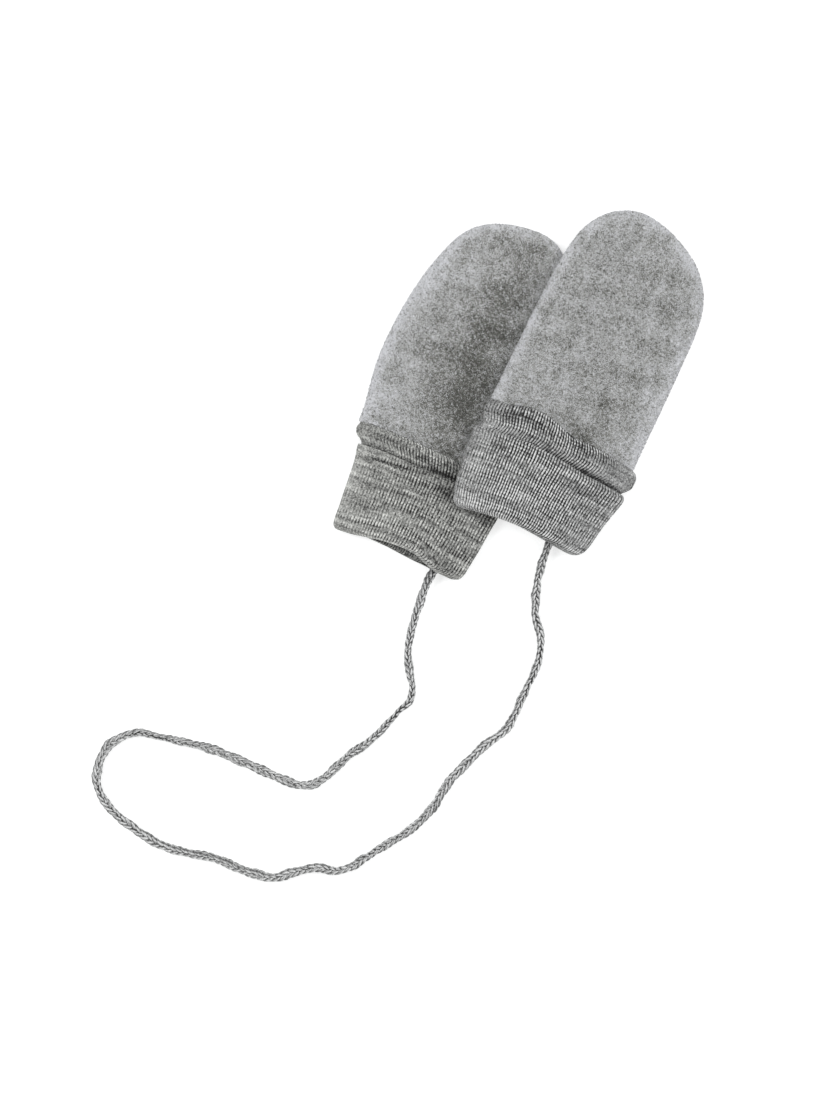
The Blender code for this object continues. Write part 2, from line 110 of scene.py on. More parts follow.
# a value with waves along a length added to it, each of them (size, length, start)
def wavy(value, at, *waves):
    for size, length, start in waves:
        value = value + size * np.sin(at / length + start)
    return value


# gentle unevenness of about unit size, from a few seeded waves
def softNoise(x, y, wavelength, seed, waves=14):
    rng = np.random.default_rng(seed)
    total = np.zeros(np.broadcast(x, y).shape)
    for _ in range(waves):
        heading = rng.uniform(0, 2 * math.pi)
        k = 2 * math.pi / (wavelength * rng.uniform(0.7, 1.4))
        shift = rng.uniform(0, 2 * math.pi)
        total = total + np.sin((x * math.cos(heading) + y * math.sin(heading)) * k + shift)
    return total * math.sqrt(2.0 / waves)


# a grey from 0 to 255, with less blue the warmer it is
def grey(level, warm=0.0):
    value = level / 255.0
    linear = value / 12.92 if value <= 0.04045 else ((value + 0.055) / 1.055) ** 2.4
    return (linear * 0.99, linear, linear * (1 - warm), 1.0)


# a mesh of triangles and quads from whole arrays, in millimetres
def meshPiece(name, verts, faces, place=(0.0, 0.0)):
    faces = [np.asarray(f, np.int32) for f in faces if len(f)]
    sizes = np.concatenate([np.full(len(f), f.shape[1], np.int32) for f in faces])
    corners = np.concatenate([f.ravel() for f in faces])
    mesh = bpy.data.meshes.new(name)
    mesh.vertices.add(len(verts))
    spots = np.array(verts, float) + np.array([place[0], place[1], 0.0])
    mesh.vertices.foreach_set("co", (spots * mm).astype(np.float32).ravel())
    mesh.loops.add(len(corners))
    mesh.loops.foreach_set("vertex_index", corners)
    mesh.polygons.add(len(sizes))
    starts = np.concatenate(([0], np.cumsum(sizes)[:-1])).astype(np.int32)
    mesh.polygons.foreach_set("loop_start", starts)
    mesh.polygons.foreach_set("use_smooth", np.ones(len(sizes), bool))
    mesh.update(calc_edges=True)
    mesh.validate()
    piece = bpy.data.objects.new(name, mesh)
    scene.collection.objects.link(piece)
    return piece


def floatAttributes(piece, **columns):
    for name, values in columns.items():
        layer = piece.data.attributes.new(name, "FLOAT", "POINT")
        layer.data.foreach_set("value", np.asarray(values, np.float32))


def newMaterial(name, roughness, sheen=0.0):
    material = bpy.data.materials.new(name)
    material.use_nodes = True
    shader = material.node_tree.nodes["Principled BSDF"]
    look = {"Roughness": roughness, "Sheen Weight": sheen, "Sheen Roughness": 0.45,
            "Sheen Tint": (1, 1, 1, 1), "Specular IOR Level": 0.25}
    for socket, value in look.items():
        shader.inputs[socket].default_value = value
    return material, material.node_tree, shader


# inputs are given by name, or as i0, i1 and so on by number
def addNode(tree, kind, settings=None, **inputs):
    node = tree.nodes.new(kind)
    for key, value in (settings or {}).items():
        setattr(node, key, value)
    for key, value in inputs.items():
        numbered = key[0] == "i" and key[1:].isdigit()
        socket = node.inputs[int(key[1:]) if numbered else key]
        if isinstance(value, bpy.types.NodeSocket):
            tree.links.new(value, socket)
        else:
            socket.default_value = value
    return node


def maths(tree, operation, a, b=0.0, c=0.0, clamp=False):
    settings = {"operation": operation, "use_clamp": clamp}
    return addNode(tree, "ShaderNodeMath", settings, i0=a, i1=b, i2=c).outputs[0]


# the sum of some parts, each as (value, its middle, how much it counts)
def weighed(tree, start, parts):
    total = start
    for value, middle, share in parts:
        shifted = maths(tree, "ADD", total, -middle * share)
        total = maths(tree, "MULTIPLY_ADD", value, share, shifted)
    return maths(tree, "ADD", total, 0.0, clamp=True)


def noiseValue(tree, vector, scale, detail=2.0, roughness=0.5, distortion=0.0):
    node = addNode(tree, "ShaderNodeTexNoise", None, Vector=vector, Scale=scale, Detail=detail,
                   Roughness=roughness, Distortion=distortion)
    return node.outputs["Fac"]


def greyRamp(tree, factor, stops):
    ramp = addNode(tree, "ShaderNodeValToRGB", None, Fac=factor)
    band = ramp.color_ramp
    while len(band.elements) < len(stops):
        band.elements.new(0.5)
    for element, (spot, level, warm) in zip(band.elements, stops):
        element.position = spot
        element.color = grey(level, warm)
    return ramp.outputs["Color"]


def attributeValue(tree, name):
    return addNode(tree, "ShaderNodeAttribute", {"attribute_name": name}).outputs["Fac"]


def objectSpot(tree):
    return addNode(tree, "ShaderNodeTexCoord").outputs["Object"]


# a place for a texture, with a value along each of its directions
def spotAt(tree, x, y, z=0.0):
    return addNode(tree, "ShaderNodeCombineXYZ", None, X=x, Y=y, Z=z).outputs[0]


# the colour and the fine relief of a wool; the depth is in metres
def finishWool(tree, shader, colour, height, strength, depth):
    tree.links.new(colour, shader.inputs["Base Color"])
    bump = addNode(tree, "ShaderNodeBump", None, Strength=strength, Distance=depth, Height=height)
    tree.links.new(bump.outputs[0], shader.inputs["Normal"])


cameraView = {
    "centre": (-15.32, -90.99),
    "turn": 24.5,              # degrees
    "height": 1200.0,
    "frameHeight": 513.2,
    "framedAt": 5.0,           # the height above the surface at which the frame is measured
    "sensor": 24.0,
    "clip": (0.01, 40.0),      # metres
}


def addCamera():
    view = cameraView
    lens = bpy.data.cameras.new("camera")
    lens.sensor_fit = "VERTICAL"
    lens.sensor_height = view["sensor"]
    lens.lens = view["sensor"] * (view["height"] - view["framedAt"]) / view["frameHeight"]
    lens.clip_start, lens.clip_end = view["clip"]
    camera = bpy.data.objects.new("camera", lens)
    x, y = view["centre"]
    camera.location = (x * mm, y * mm, view["height"] * mm)
    camera.rotation_euler = (0.0, 0.0, math.radians(view["turn"]))
    scene.collection.objects.link(camera)
    scene.camera = camera


addCamera()
print("camera set")


plaitedCord = {
    "width": 3.5,
    "rest": 1.85,              # its middle above the surface
    "inside": 4.75,            # its middle between the layers of a mouth
    "drop": (17.0, 31.0),      # from there to here along it, it comes down to the surface
    "strands": 5,
    "period": 15.5,            # length in which a strand crosses over and back
    "drift": [(0.03, 23.0, 0.0), (0.05, 61.0, 0.0)],   # waves in where the strands cross
    "roll": [(0.35, 31.0, 0.6), (0.2, 13.7, 0.0)],     # and in how it lies turned
    "sideways": 1.26,          # how far a strand swings out
    "upDown": 0.72,
    "strandWide": 0.84,
    "strandHigh": 0.74,
    "plies": 3,
    "plyDepth": 0.16,
    "plyTurn": 24.0,           # length in which the plies of a strand turn once
    "sway": 0.16,              # how far the whole plait strays to the side
    "lumps": 0.15,             # how unevenly it is drawn together
    "sides": 16,
    "step": 0.75,
    "floorGap": 0.04,
    "shaded": (15.0, 25.0),    # painted shade by each mouth, where the cord comes out under it, fading out along it
    "tones": [(0.0, 44, 0.0), (0.3, 104, 0.0), (0.6, 176, 0.0), (1.0, 226, 0.0)],
    "hairs": 3000,
    "hairTone": (2.3, 0.9),    # its middle and spread, among the wool hairs' tones
    "hairSizes": {
        "length": (0.7, 1.9), "lift": (0.1, 0.35), "tip": (0.1, 0.6), "curl": 0.25,
        "width": (0.05, 0.09),
    },
    "hairSeed": 11,
}

cordRoute = [
    (-1.0, -83.2), (-2.1, -104.8), (0.3, -125.0), (2.8, -135.2),
    (13.2, -153.8), (10.2, -164.0), (3.5, -182.1), (-1.8, -190.3),
    (-9.0, -206.8), (-15.7, -212.6), (-39.8, -214.1), (-60.8, -214.8),
    (-87.9, -220.1), (-97.1, -222.4), (-106.7, -234.6), (-105.1, -249.5),
    (-99.4, -256.4), (-87.7, -261.8), (-63.1, -265.5), (-39.6, -260.8),
    (-22.9, -260.0), (-10.5, -257.7), (-4.9, -253.0), (7.6, -244.2),
    (13.0, -243.2), (20.0, -238.7), (25.3, -230.3), (38.2, -211.1),
    (43.2, -199.3), (45.8, -183.1), (53.8, -160.8), (60.1, -148.0),
    (60.5, -131.3), (60.4, -113.9), (55.9, -101.8), (50.3, -95.1),
    (42.9, -72.4), (42.1, -49.0),
]

# where along the cord it is plaited tighter or looser
cordGirths = table(plaitGirth, [
    (0, 0.98), (26, 1.06), (44, 0.87), (60, 0.93), (86, 0.74), (104, 0.96), (130, 1.03),
    (184, 1.11), (216, 0.83), (240, 1.11), (264, 0.98), (310, 1.13), (360, 1.12), (400, 0.93),
    (440, 1.06), (480, 1.07), (524, 0.87), (552, 0.98), (600, 0.92),
])


def cordLine(step):
    path = curveThrough(cordRoute, 24)
    run = np.concatenate(([0.0], np.cumsum(np.linalg.norm(np.diff(path, axis=0), axis=1))))
    at = np.linspace(0.0, run[-1], int(round(run[-1] / step)) + 1)
    fall = 1.0 - smoothStep(*plaitedCord["drop"], np.minimum(at, run[-1] - at))
    x = np.interp(at, run, path[:, 0])
    y = np.interp(at, run, path[:, 1])
    z = plaitedCord["rest"] + (plaitedCord["inside"] - plaitedCord["rest"]) * fall
    return at, np.column_stack([x, y, z])


def cordMaterial():
    material, tree, shader = newMaterial("cord wool", roughness=0.85, sheen=0.25)
    spot = objectSpot(tree)
    along = maths(tree, "MULTIPLY", attributeValue(tree, "run"), 0.3)
    yarn = spotAt(tree, along, attributeValue(tree, "strand"))
    tone = weighed(tree, 0.65, [
        (noiseValue(tree, yarn, 1.0, 3.0, 0.6), 0.5, 0.6),
        (noiseValue(tree, spot, 1300.0, 3.0, 0.7), 0.5, 1.3),
        # paler ply crests and darker furrows between plies: painted light and shade
        (attributeValue(tree, "ply"), 0.5, 0.45),
        # painted shade in the furrows between strands
        (attributeValue(tree, "gap"), 0.0, -1.0),
        # painted shade on the cord's sides
        (attributeValue(tree, "edge"), 0.0, -0.22),
        # painted shade by each mouth
        (attributeValue(tree, "shaded"), 0.0, -0.15),
    ])
    colour = greyRamp(tree, tone, plaitedCord["tones"])
    finishWool(tree, shader, colour, noiseValue(tree, spot, 2600.0, 3.0, 0.6), 0.8, 0.00012)
    return material


# left to right of the route and up, turned slowly so that the plait rolls a little
def cordFrames(line, at):
    ahead = np.gradient(line, axis=0)
    ahead /= np.linalg.norm(ahead, axis=1)[:, None]
    side = np.cross(ahead, [0.0, 0.0, 1.0])
    side /= np.linalg.norm(side, axis=1)[:, None]
    up = np.cross(side, ahead)
    roll = wavy(0.0, at, *plaitedCord["roll"])
    cosine = np.cos(roll)[:, None]
    sine = np.sin(roll)[:, None]
    return side * cosine + up * sine, up * cosine - side * sine


def buildCord():
    cord = plaitedCord
    at, line = cordLine(cord["step"])
    side, up = cordFrames(line, at)
    sides = cord["sides"]
    strands = cord["strands"]
    angle = np.arange(sides) * 2 * math.pi / sides
    phase = wavy(at / cord["period"], at, *cord["drift"])
    lumps = cord["lumps"] * np.sin(at / 2.3 + 1.6 * np.sin(at / 24.0))
    sway = cord["sway"] * np.sin(at / 1.35 + 2.0 * np.sin(at / 29.0)) * np.sin(at / 17.0)
    girths = readTable(cordGirths, "run", "share", at)
    middles = []
    for strand in range(strands):
        t = 2 * math.pi * (phase + strand / strands)
        swing = cord["sideways"] * girths * (wavy(1.0, at, (0.1, 9.1, strand)) + lumps)
        rise = -cord["upDown"] * np.sin(2 * t)
        middles.append(line + side * (swing * np.sin(t) + sway)[:, None] + up * rise[:, None])
    verts = []
    quads = []
    caps = []
    plies = []
    furrowShades = []
    sideShades = []
    for strand, middle in enumerate(middles):
        swell = wavy(girths + 0.3 * lumps, at, (0.09, 3.3, 2.1 * strand), (0.06, 7.9, strand))
        turned = angle[None, :] - (2 * math.pi * at / cord["plyTurn"] + strand)[:, None]
        ply = 0.5 + 0.5 * np.cos(cord["plies"] * turned)
        girth = swell[:, None] * (1 - cord["plyDepth"] * (1 - ply))
        wide = (cord["strandWide"] * girth * np.cos(angle))[:, :, None]
        high = (cord["strandHigh"] * girth * np.sin(angle))[:, :, None]
        ring = middle[:, None, :] + side[:, None, :] * wide + up[:, None, :] * high
        # painted shade in the furrows, where another strand is near
        near = []
        for other in middles[:strand] + middles[strand + 1:]:
            off = ring - other[:, None, :]
            offSide = (off * side[:, None, :]).sum(2) / cord["strandWide"]
            offUp = (off * up[:, None, :]).sum(2) / cord["strandHigh"]
            near.append(np.hypot(offSide, offUp))
        reach = np.abs(((ring - line[:, None, :]) * side[:, None, :]).sum(2))
        gap = 1.0 - smoothStep(0.9, 1.3, np.min(near, axis=0))
        grid = strand * len(at) * sides + np.arange(len(at) * sides).reshape(len(at), sides)
        following = np.roll(grid, -1, axis=1)
        ends = [grid[:-1], grid[1:], following[1:], following[:-1]]
        quads.append(np.stack(ends, axis=-1).reshape(-1, 4))
        caps += [grid[0], grid[-1][::-1]]
        verts.append(ring.reshape(-1, 3))
        # the ply's tone, paler on its crest and darker between plies, is painted light and shade
        plies.append(ply.ravel())
        # painted shade on the sides of the cord, away from its middle
        sideShades.append(smoothStep(0.8, 1.9, reach).ravel())
        furrowShades.append((gap * (1.0 - 0.6 * smoothStep(0.4, 1.3, reach))).ravel())
    verts = np.concatenate(verts)
    verts[:, 2] = np.maximum(verts[:, 2], cord["floorGap"])
    quads = np.concatenate(quads)
    piece = meshPiece("plaitedCord", verts, [quads, np.array(caps)])
    # painted shade on the cord near each mouth, fading out along it
    shaded = 1.0 - smoothStep(*cord["shaded"], np.minimum(at, at[-1] - at))
    floatAttributes(
        piece,
        run=np.tile(np.repeat(at, sides), strands),
        strand=np.repeat(np.arange(strands) * 7.3, len(at) * sides),
        ply=np.concatenate(plies),
        gap=np.concatenate(furrowShades),
        edge=np.concatenate(sideShades),
        shaded=np.tile(np.repeat(shaded, sides), strands),
    )
    piece.data.materials.append(cordMaterial())
    return piece, line, verts, quads


# shared by the fleece and the cord
woolHairs = {
    "tones": [(75, 0.1), (118, 0.08), (158, 0.04), (186, 0.0), (211, -0.03)],
    "rootDepth": 0.08,
    "lean": 0.6,
    "floorGap": 0.03,
}


def hairMaterials():
    made = []
    for level, warm in woolHairs["tones"]:
        material, tree, shader = newMaterial("wool hair %d" % level, roughness=0.8, sheen=0.2)
        shader.inputs["Base Color"].default_value = grey(level, warm)
        made.append(material)
    return made


# places on the faces of a mesh, spread by area times weight, with the faces' normals
def scatterOn(verts, quads, weight, count, rng):
    a, b, c, d = (verts[quads[:, k]] for k in range(4))
    cross = np.cross(c - a, d - b)
    area = np.linalg.norm(cross, axis=1) / 2
    share = area * weight
    chosen = rng.choice(len(quads), count, p=share / share.sum())
    u = rng.random(count)[:, None]
    v = rng.random(count)[:, None]
    near = a[chosen] * (1 - u) + b[chosen] * u
    far = d[chosen] * (1 - u) + c[chosen] * u
    return chosen, near * (1 - v) + far * v, cross[chosen] / (2 * area[chosen])[:, None]


# one tone for each hair, as the number of its material
def hairTone(tone):
    return np.clip(np.round(tone), 0, len(woolHairs["tones"]) - 1).astype(int)


# thin tapering hairs that lift off a surface and lie back towards it
def buildHairs(name, spot, normal, tone, sizes, rng):
    count = len(spot)
    random = rng.normal(size=(count, 3))
    along = random - normal * (random * normal).sum(1)[:, None]
    along /= np.linalg.norm(along, axis=1)[:, None]
    cross = np.cross(normal, along)
    length = rng.uniform(*sizes["length"], count)[:, None]
    lift = rng.uniform(*sizes["lift"], count)[:, None]
    drop = rng.uniform(*sizes["tip"], count)[:, None]
    curl = rng.normal(0.0, sizes["curl"], count)[:, None]
    width = rng.uniform(*sizes["width"], count)[:, None]
    lean = rng.normal(0.0, woolHairs["lean"], count)[:, None]
    flat = cross + normal * lean
    flat /= np.linalg.norm(flat, axis=1)[:, None]
    root = spot - normal * woolHairs["rootDepth"]
    middle = spot + along * length * 0.5 + normal * lift + cross * curl * length
    tip = spot + along * length + normal * drop + cross * curl * length * 0.4
    half = flat * width / 2
    points = [root - half, root + half, middle - half * 0.8, middle + half * 0.8, tip]
    points = np.stack(points, axis=1)
    points[:, :, 2] = np.maximum(points[:, :, 2], woolHairs["floorGap"])
    base = np.arange(count)[:, None] * 5
    faces = np.concatenate([base + [0, 1, 3], base + [0, 3, 2], base + [2, 3, 4]], axis=1)
    piece = meshPiece(name, points.reshape(-1, 3), [faces.reshape(-1, 3)])
    for material in hairSet:
        piece.data.materials.append(material)
    piece.data.polygons.foreach_set("material_index", np.repeat(tone, 3).astype(np.int32))
    return piece


cordPiece, cordCentres, cordVerts, cordQuads = buildCord()
hairSet = hairMaterials()


def buildCordHairs():
    rng = np.random.default_rng(plaitedCord["hairSeed"])
    even = np.ones(len(cordQuads))
    chosen, spot, normal = scatterOn(cordVerts, cordQuads, even, plaitedCord["hairs"], rng)
    tone = hairTone(rng.normal(*plaitedCord["hairTone"], len(spot)))
    return buildHairs("cordHairs", spot, normal, tone, plaitedCord["hairSizes"], rng)


cordHairs = buildCordHairs()
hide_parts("cord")
for piece in (cordPiece, cordHairs):
    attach(piece, "root")
print("cord plaited")


# place:   where the middle of the mouth lies on the surface
# outline: the fleece from the west wrist over the tip to the east wrist
# tip:     the middle of the round tip; turn and wrist are the heights of the turned-up edge and
#          of the wrist seam
# cuff:    the inner layer's outer face; lift is its underside, room the clear height inside
# lines:   front mouth, back mouth, turned-up edge and wrist seam, read across the cuff
# swell:   how far the middle of the front stands off the back
# pressed: where the other mitten holds it down, fading in from west to east and from low to high
# folds:   soft ridges (rise above 0) and troughs in the front
# wool:    paler (rise above 0) and darker patches in the fleece: some wool tone, mostly painted light and shade
# ribs:    how many over the front of the cuff; clear is how much they stand out, dull where they
#          do so less, patchy how unevenly, and broken how much they change from stitch to stitch
# streaks: how strongly the yarn changes in tone along a course, and bands over several courses
# knit:    paler (rise above 0) and darker patches, mostly painted light and shade; trough a painted shadow past its turned-up edge
# shelf:   what the mitten lies on: full height up to the edge, then down to the surface
# warm:    how much less blue there is in the greys of the cuff
# seed:    of all that is uneven in the mitten; clouds is the seed of the clouds in its wool
leftMitten = {
    "name": "left",
    "place": (-24.8, -95.03),
    "outline": table(outlinePoint, [
        (-38, 46), (-38, 51), (-38.6, 58), (-40.4, 68), (-41.9, 80), (-42, 92), (-41.3, 104),
        (-39.5, 118), (-36.3, 132.3), (-30.6, 147.4), (-25, 154.3), (-16.9, 159.4), (-6, 162.6),
        (3, 163.6), (11.1, 162.3), (16.9, 158.6), (22, 151), (26.4, 140), (29.2, 127), (31, 110),
        (32, 92), (33.2, 72), (35, 56), (36.2, 46),
    ]),
    "tip": outlinePoint(-2, 124),
    "turn": 39.5,
    "wrist": 49.5,
    "cuff": table(cuffSection, [
        (0, -26, 31, 1.5, 0.5), (1.4, -27, 33.6, 1.5, 0.7), (4, -27.7, 35, 1.5, 0.9),
        (9, -28.1, 35.7, 1.5, 1.1), (18, -29.1, 36.8, 1.5, 1.3), (28, -30.1, 37.7, 1.5, 1.3),
        (34, -31, 38.4, 1.5, 1.1), (37.6, -32, 38.8, 1.5, 0.9), (39.5, -32.2, 38.8, 1.5, 0.8),
        (41.5, -33.7, 39.2, 1.2, 1.2), (44, -36.7, 40.2, 0.6, 2), (46.3, -37.6, 39.6, 0.4, 2.2),
        (48.3, -37, 37.2, 0.5, 1.7), (49.5, -37, 35.4, 0.7, 1.4),
    ]),
    "lines": table(clothLine, [
        (-38, -1.4, -1.4, 38.4, 48.7), (-28, -1.9, -1.9, 39.6, 50), (-20, -1.2, -1.2, 40.3, 50.2),
        (-11, 0.7, 0.5, 40.5, 50.5), (-3, 2.3, 0.5, 40.6, 50.4), (6, 3, 0, 40.8, 50.4),
        (12, 2.6, -0.3, 41, 50.3), (18, 0.6, -0.4, 41, 50.2), (25, -0.9, -0.9, 40.6, 50),
        (36, -1, -1, 39.4, 49.4),
    ]),
    "swell": table(handSwell, [(46, 1.5), (60, 2.6), (85, 3.3), (125, 3.2)]),
    "pressed": (3.0, 13.0, 20.0, 28.0),
    "cordAcross": 23.4,
    "folds": table(softFold, [
        (-18, 36.6, 4, 13, 1.1, -0.45), (-4, 20, 3, 24, 4, 0.35), (-20, 12, -6, 14, 3, -0.3),
        (2, 44, 2, 20, 2, 0.4), (-20, 38.2, 4, 12, 0.7, 0.25), (8, 30, 2, 20, 2.2, -0.2),
        (-10, 8.5, -4, 16, 2, 0.2), (20, 13, 5, 12, 2.4, -0.22), (-26, 26, 8, 8, 1.8, -0.25),
        (24, 46, -2, 12, 1.6, 0.3), (-24, 46.8, 6, 10, 1.6, 0.35), (-8, 42.2, 1, 26, 1.2, -0.3),
    ]),
    "wool": table(softFold, [
        # painted shade: the right mitten's shadow on the left one, and a darker spot below it
        (0.2, 112, 87, 96, 13.5, -0.38), (4, 76, 86, 46, 11, -0.4), (-30, 64, 80, 36, 9, 0.12),
        (-16, 92, 0, 16, 6, -0.1), (-37, 95, 88, 130, 7, 0.12), (-18, 55, 0, 40, 7, 0.12),
        (-25, 130, 40, 44, 9, 0.16), (-21, 90, 90, 26, 6, -0.1), (13, 108, 88, 70, 3.5, 0.13),
        (6, 120, 88, 20, 5, -0.16), (7, 79, 0, 14, 6, -0.12), (8, 53, 0, 16, 4, -0.2),
        (0, 102, 0, 14, 5, -0.12), (14, 157, -40, 12, 4, -0.17),
    ]),
    "ribs": 49,
    "bands": 0.6,
    "clear": table(ribClear, [(-38, 0.05), (-27, 0.12), (-14, 0.4), (4, 0.58), (36, 0.55)]),
    "dull": table(softFold, [(-4, 39.5, 0, 70, 5, -0.2), (-2, 45.5, 0, 90, 3.8, 0.1)]),
    "patchy": 4.0,
    "broken": 0.9,
    "streaks": 0.75,
    "knit": table(softFold, [
        (20, 42, 90, 26, 9, -0.16), (11, 33.6, 3, 16, 2.2, -0.2), (-31, 16, 92, 56, 4, 0.18),
        (-25, 42, 2, 26, 1.6, -0.14), (22, 9, 90, 16, 6, -0.05), (-17.5, 35.1, 6, 32, 0.7, -0.45),
        (-14, 37.1, 1, 26, 1, 0.16), (-21, 6.5, 0, 14, 2, 0.12), (-28, 31.5, 0, 12, 2, 0.16),
        (-5, 19, 0, 36, 1.8, 0.05), (-16, 15.4, 0, 24, 2.2, 0.09), (-26, 23.5, 0, 14, 2, 0.12),
        (36, 29, 90, 12, 4, -0.12), (36, 5.5, 90, 14, 2.5, 0.18), (12, 49.3, 0, 40, 0.8, 0.13),
        (4, 0.4, 0, 44, 1.6, 0.12), (-5, 42, 0, 24, 1.7, 0.1),
    ]),
    "troughShade": table(softFold, [(8, 40.8, 0, 14, 0.9, -0.4), (0, 39.6, 0, 70, 0.7, -0.3)]),
    "shelf": [],
    "warm": 0.04,
    "seed": 5,
    "clouds": 566,
}

rightMitten = {
    "name": "right",
    "place": (27.2, -61.03),
    "outline": table(outlinePoint, [
        (-38.2, 45), (-38, 51), (-37.6, 64), (-37.2, 80), (-36.8, 96), (-36.2, 109), (-35.3, 121.5),
        (-34, 131), (-31.8, 139.3), (-28.4, 146), (-23.2, 151.9), (-17.2, 155.8), (-8.8, 157.9),
        (2, 156.5), (14, 151.9), (23.4, 146), (29, 140), (33, 133.6), (35.5, 126), (36.6, 116),
        (36.9, 100), (36.8, 78), (36.5, 60), (36.5, 43),
    ]),
    "tip": outlinePoint(-1, 116),
    "turn": 36.0,
    "wrist": 49.5,
    "cuff": table(cuffSection, [
        (0, -31, 25, 1.5, 0.5), (1.4, -32.6, 27.8, 1.5, 0.7), (4, -33.6, 29.8, 1.5, 0.9),
        (8, -35, 31.1, 1.5, 1.1), (15, -35.8, 32.3, 1.5, 1.3), (24, -36.9, 34.3, 1.5, 1.3),
        (30, -37.4, 35.9, 1.5, 1.1), (33.5, -37.9, 36.6, 1.5, 0.9), (35, -38, 36.1, 1.5, 0.9),
        (36, -37.2, 35.7, 1.5, 0.8), (38.3, -36.8, 37.6, 1.2, 1.3), (41.5, -37.9, 39.5, 0.6, 2.3),
        (45, -38.9, 39.6, 0.4, 2.5), (48, -38.7, 38.1, 0.5, 1.9), (49.5, -38, 36.4, 0.7, 1.4),
    ]),
    "lines": table(clothLine, [
        (-38, -2, -2, 35.8, 49.4), (-30, -2.8, -2.8, 37.2, 50.2), (-24, -1.8, -1.8, 37.7, 51.9),
        (-17, -0.7, -0.7, 37.9, 53.3), (-10, 0.2, 0.2, 37.9, 52.8), (-2, 0.6, 0.6, 37.4, 50.8),
        (5, 0.3, 0.3, 36.7, 48.6), (11, -0.2, -0.2, 36.1, 48.9), (18, -0.9, -0.9, 35.3, 48.8),
        (26, -1.4, -1.4, 34.8, 47.8), (37, -0.8, -0.8, 33.9, 46.4),
    ]),
    "swell": table(handSwell, [(46, 1.6), (60, 2.7), (85, 3.3), (118, 3.2)]),
    "pressed": None,
    "cordAcross": 15.2,
    "folds": table(softFold, [
        (5, 47, -20, 7, 2.2, -0.9), (-24, 41.8, 3, 15, 1.2, -0.5), (-14, 45.5, 6, 12, 2.4, 0.5),
        (-28, 31.6, 3, 14, 1.4, -0.22), (2, 17, -3, 26, 4.5, 0.35), (18, 40.5, -6, 14, 2.5, 0.5),
        (-26, 43.6, 3, 12, 1, 0.35), (-21, 48.2, 8, 14, 1.3, -0.22), (12, 37.8, -6, 22, 1.1, -0.4),
        (22, 45, -8, 12, 1.5, 0.35), (-30, 33.4, 3, 12, 0.8, 0.2), (14, 8, 4, 16, 2.4, -0.2),
        (-18, 24, -3, 18, 3, 0.2), (24, 26, 4, 10, 2, -0.2),
    ]),
    "wool": table(softFold, [
        # mostly painted light and shade, among them the shadow under the pucker at the wrist
        (11, 63, 0, 28, 7, -0.2), (-14, 66, 20, 30, 9, 0.1), (26, 55, 0, 18, 5, 0.12),
        (10, 79, 0, 30, 5, -0.12), (-30, 108, 90, 12, 6, -0.05), (13.5, 130, 0, 12, 5, -0.17),
        (28, 97, 60, 14, 6, -0.12), (19, 138.5, 20, 16, 5, 0.16), (26, 127, -60, 22, 5, -0.13),
        (9, 50.8, -20, 12, 3, -0.6), (32, 78, 90, 90, 7, 0.14), (-5, 160, 0, 40, 5, 0.12),
        (1.5, 92.5, 0, 14, 6, 0.08),
    ]),
    "ribs": 56,
    "bands": 0.42,
    "clear": table(ribClear, [
        (-38, 0.22), (-32, 0.55), (-26, 0.85), (-4, 1.3), (12, 1), (36, 0.75),
    ]),
    "dull": table(softFold, [
        (37, 43, 90, 16, 14, -1.2), (30, 10, 60, 30, 7, -0.3), (-6, 37, 0, 50, 3, -0.4),
    ]),
    "patchy": 2.6,
    "broken": 0.7,
    "streaks": 0.6,
    "knit": table(softFold, [
        (-12, 32.6, 0, 26, 3.2, -0.09), (-12, 41.5, 0, 50, 3.5, 0.05), (-23, 46, -4, 34, 4, -0.16),
        (10, 2, -2, 40, 2.5, -0.12), (14, 22, 0, 18, 3.5, -0.09), (-32, 32, 92, 80, 5, 0.1),
        (-18, 3, 3, 60, 4, 0.1), (33, 45, 90, 14, 6, 0.04), (28, 4, 0, 14, 4, 0.16),
        (29, 34.5, 0, 16, 4, -0.08), (-8, 49.3, 0, 70, 0.8, 0.14), (-8, 0.4, 0, 36, 1.6, 0.16),
        (35.5, 22, 90, 30, 2.5, 0.12), (8, 47.3, -20, 12, 2, -0.18), (-29, 42, 0, 12, 3, -0.12),
    ]),
    "troughShade": table(softFold, [(12, 36.3, 0, 56, 0.8, -0.35), (14, 37.4, -2, 50, 1.4, -0.06)]),
    "shelf": table(shelfStep, [
        (-8, -11.5, 6.7), (2, -11.2, 6.7), (12, -11.2, 6.6), (19, -14, 6), (27, -16.6, 5.8),
        (50, -19, 5.8), (79, -21, 5.8), (94, -22.8, 5.8), (107, -25.4, 5.8), (117.5, -29.8, 5.8),
        (125, -34, 5.7), (136, -35, 3.6), (150, -35, 1.2), (160, -35, 0.7),
    ]),
    "warm": 0.005,
    "seed": 9,
    "clouds": 1592,
}

layers = {
    "fleece": 2.5,
    "rib": 1.2,
    "gap": 0.3,                # between pieces at a seam and between turned layers
    "edgeRound": 3.2,
    "wristDip": 0.9,           # how far the fleece is drawn down at the wrist seam
    "backDip": 0.5,            # and its back up
    "dipRun": 3.5,
    "pillow": 26.0,            # from its edge to where the hand has its full swell
    "room": 0.5,               # least clear height inside, and how much more at the wrist
    "wristRoom": 0.6,
    "cordRoom": 4.1,           # clear height about the cord, how far to its sides and how far in
    "cordSpread": 8.0,
    "cordHidden": (14.0, 27.0),
    "shelfRun": 24.0,
}


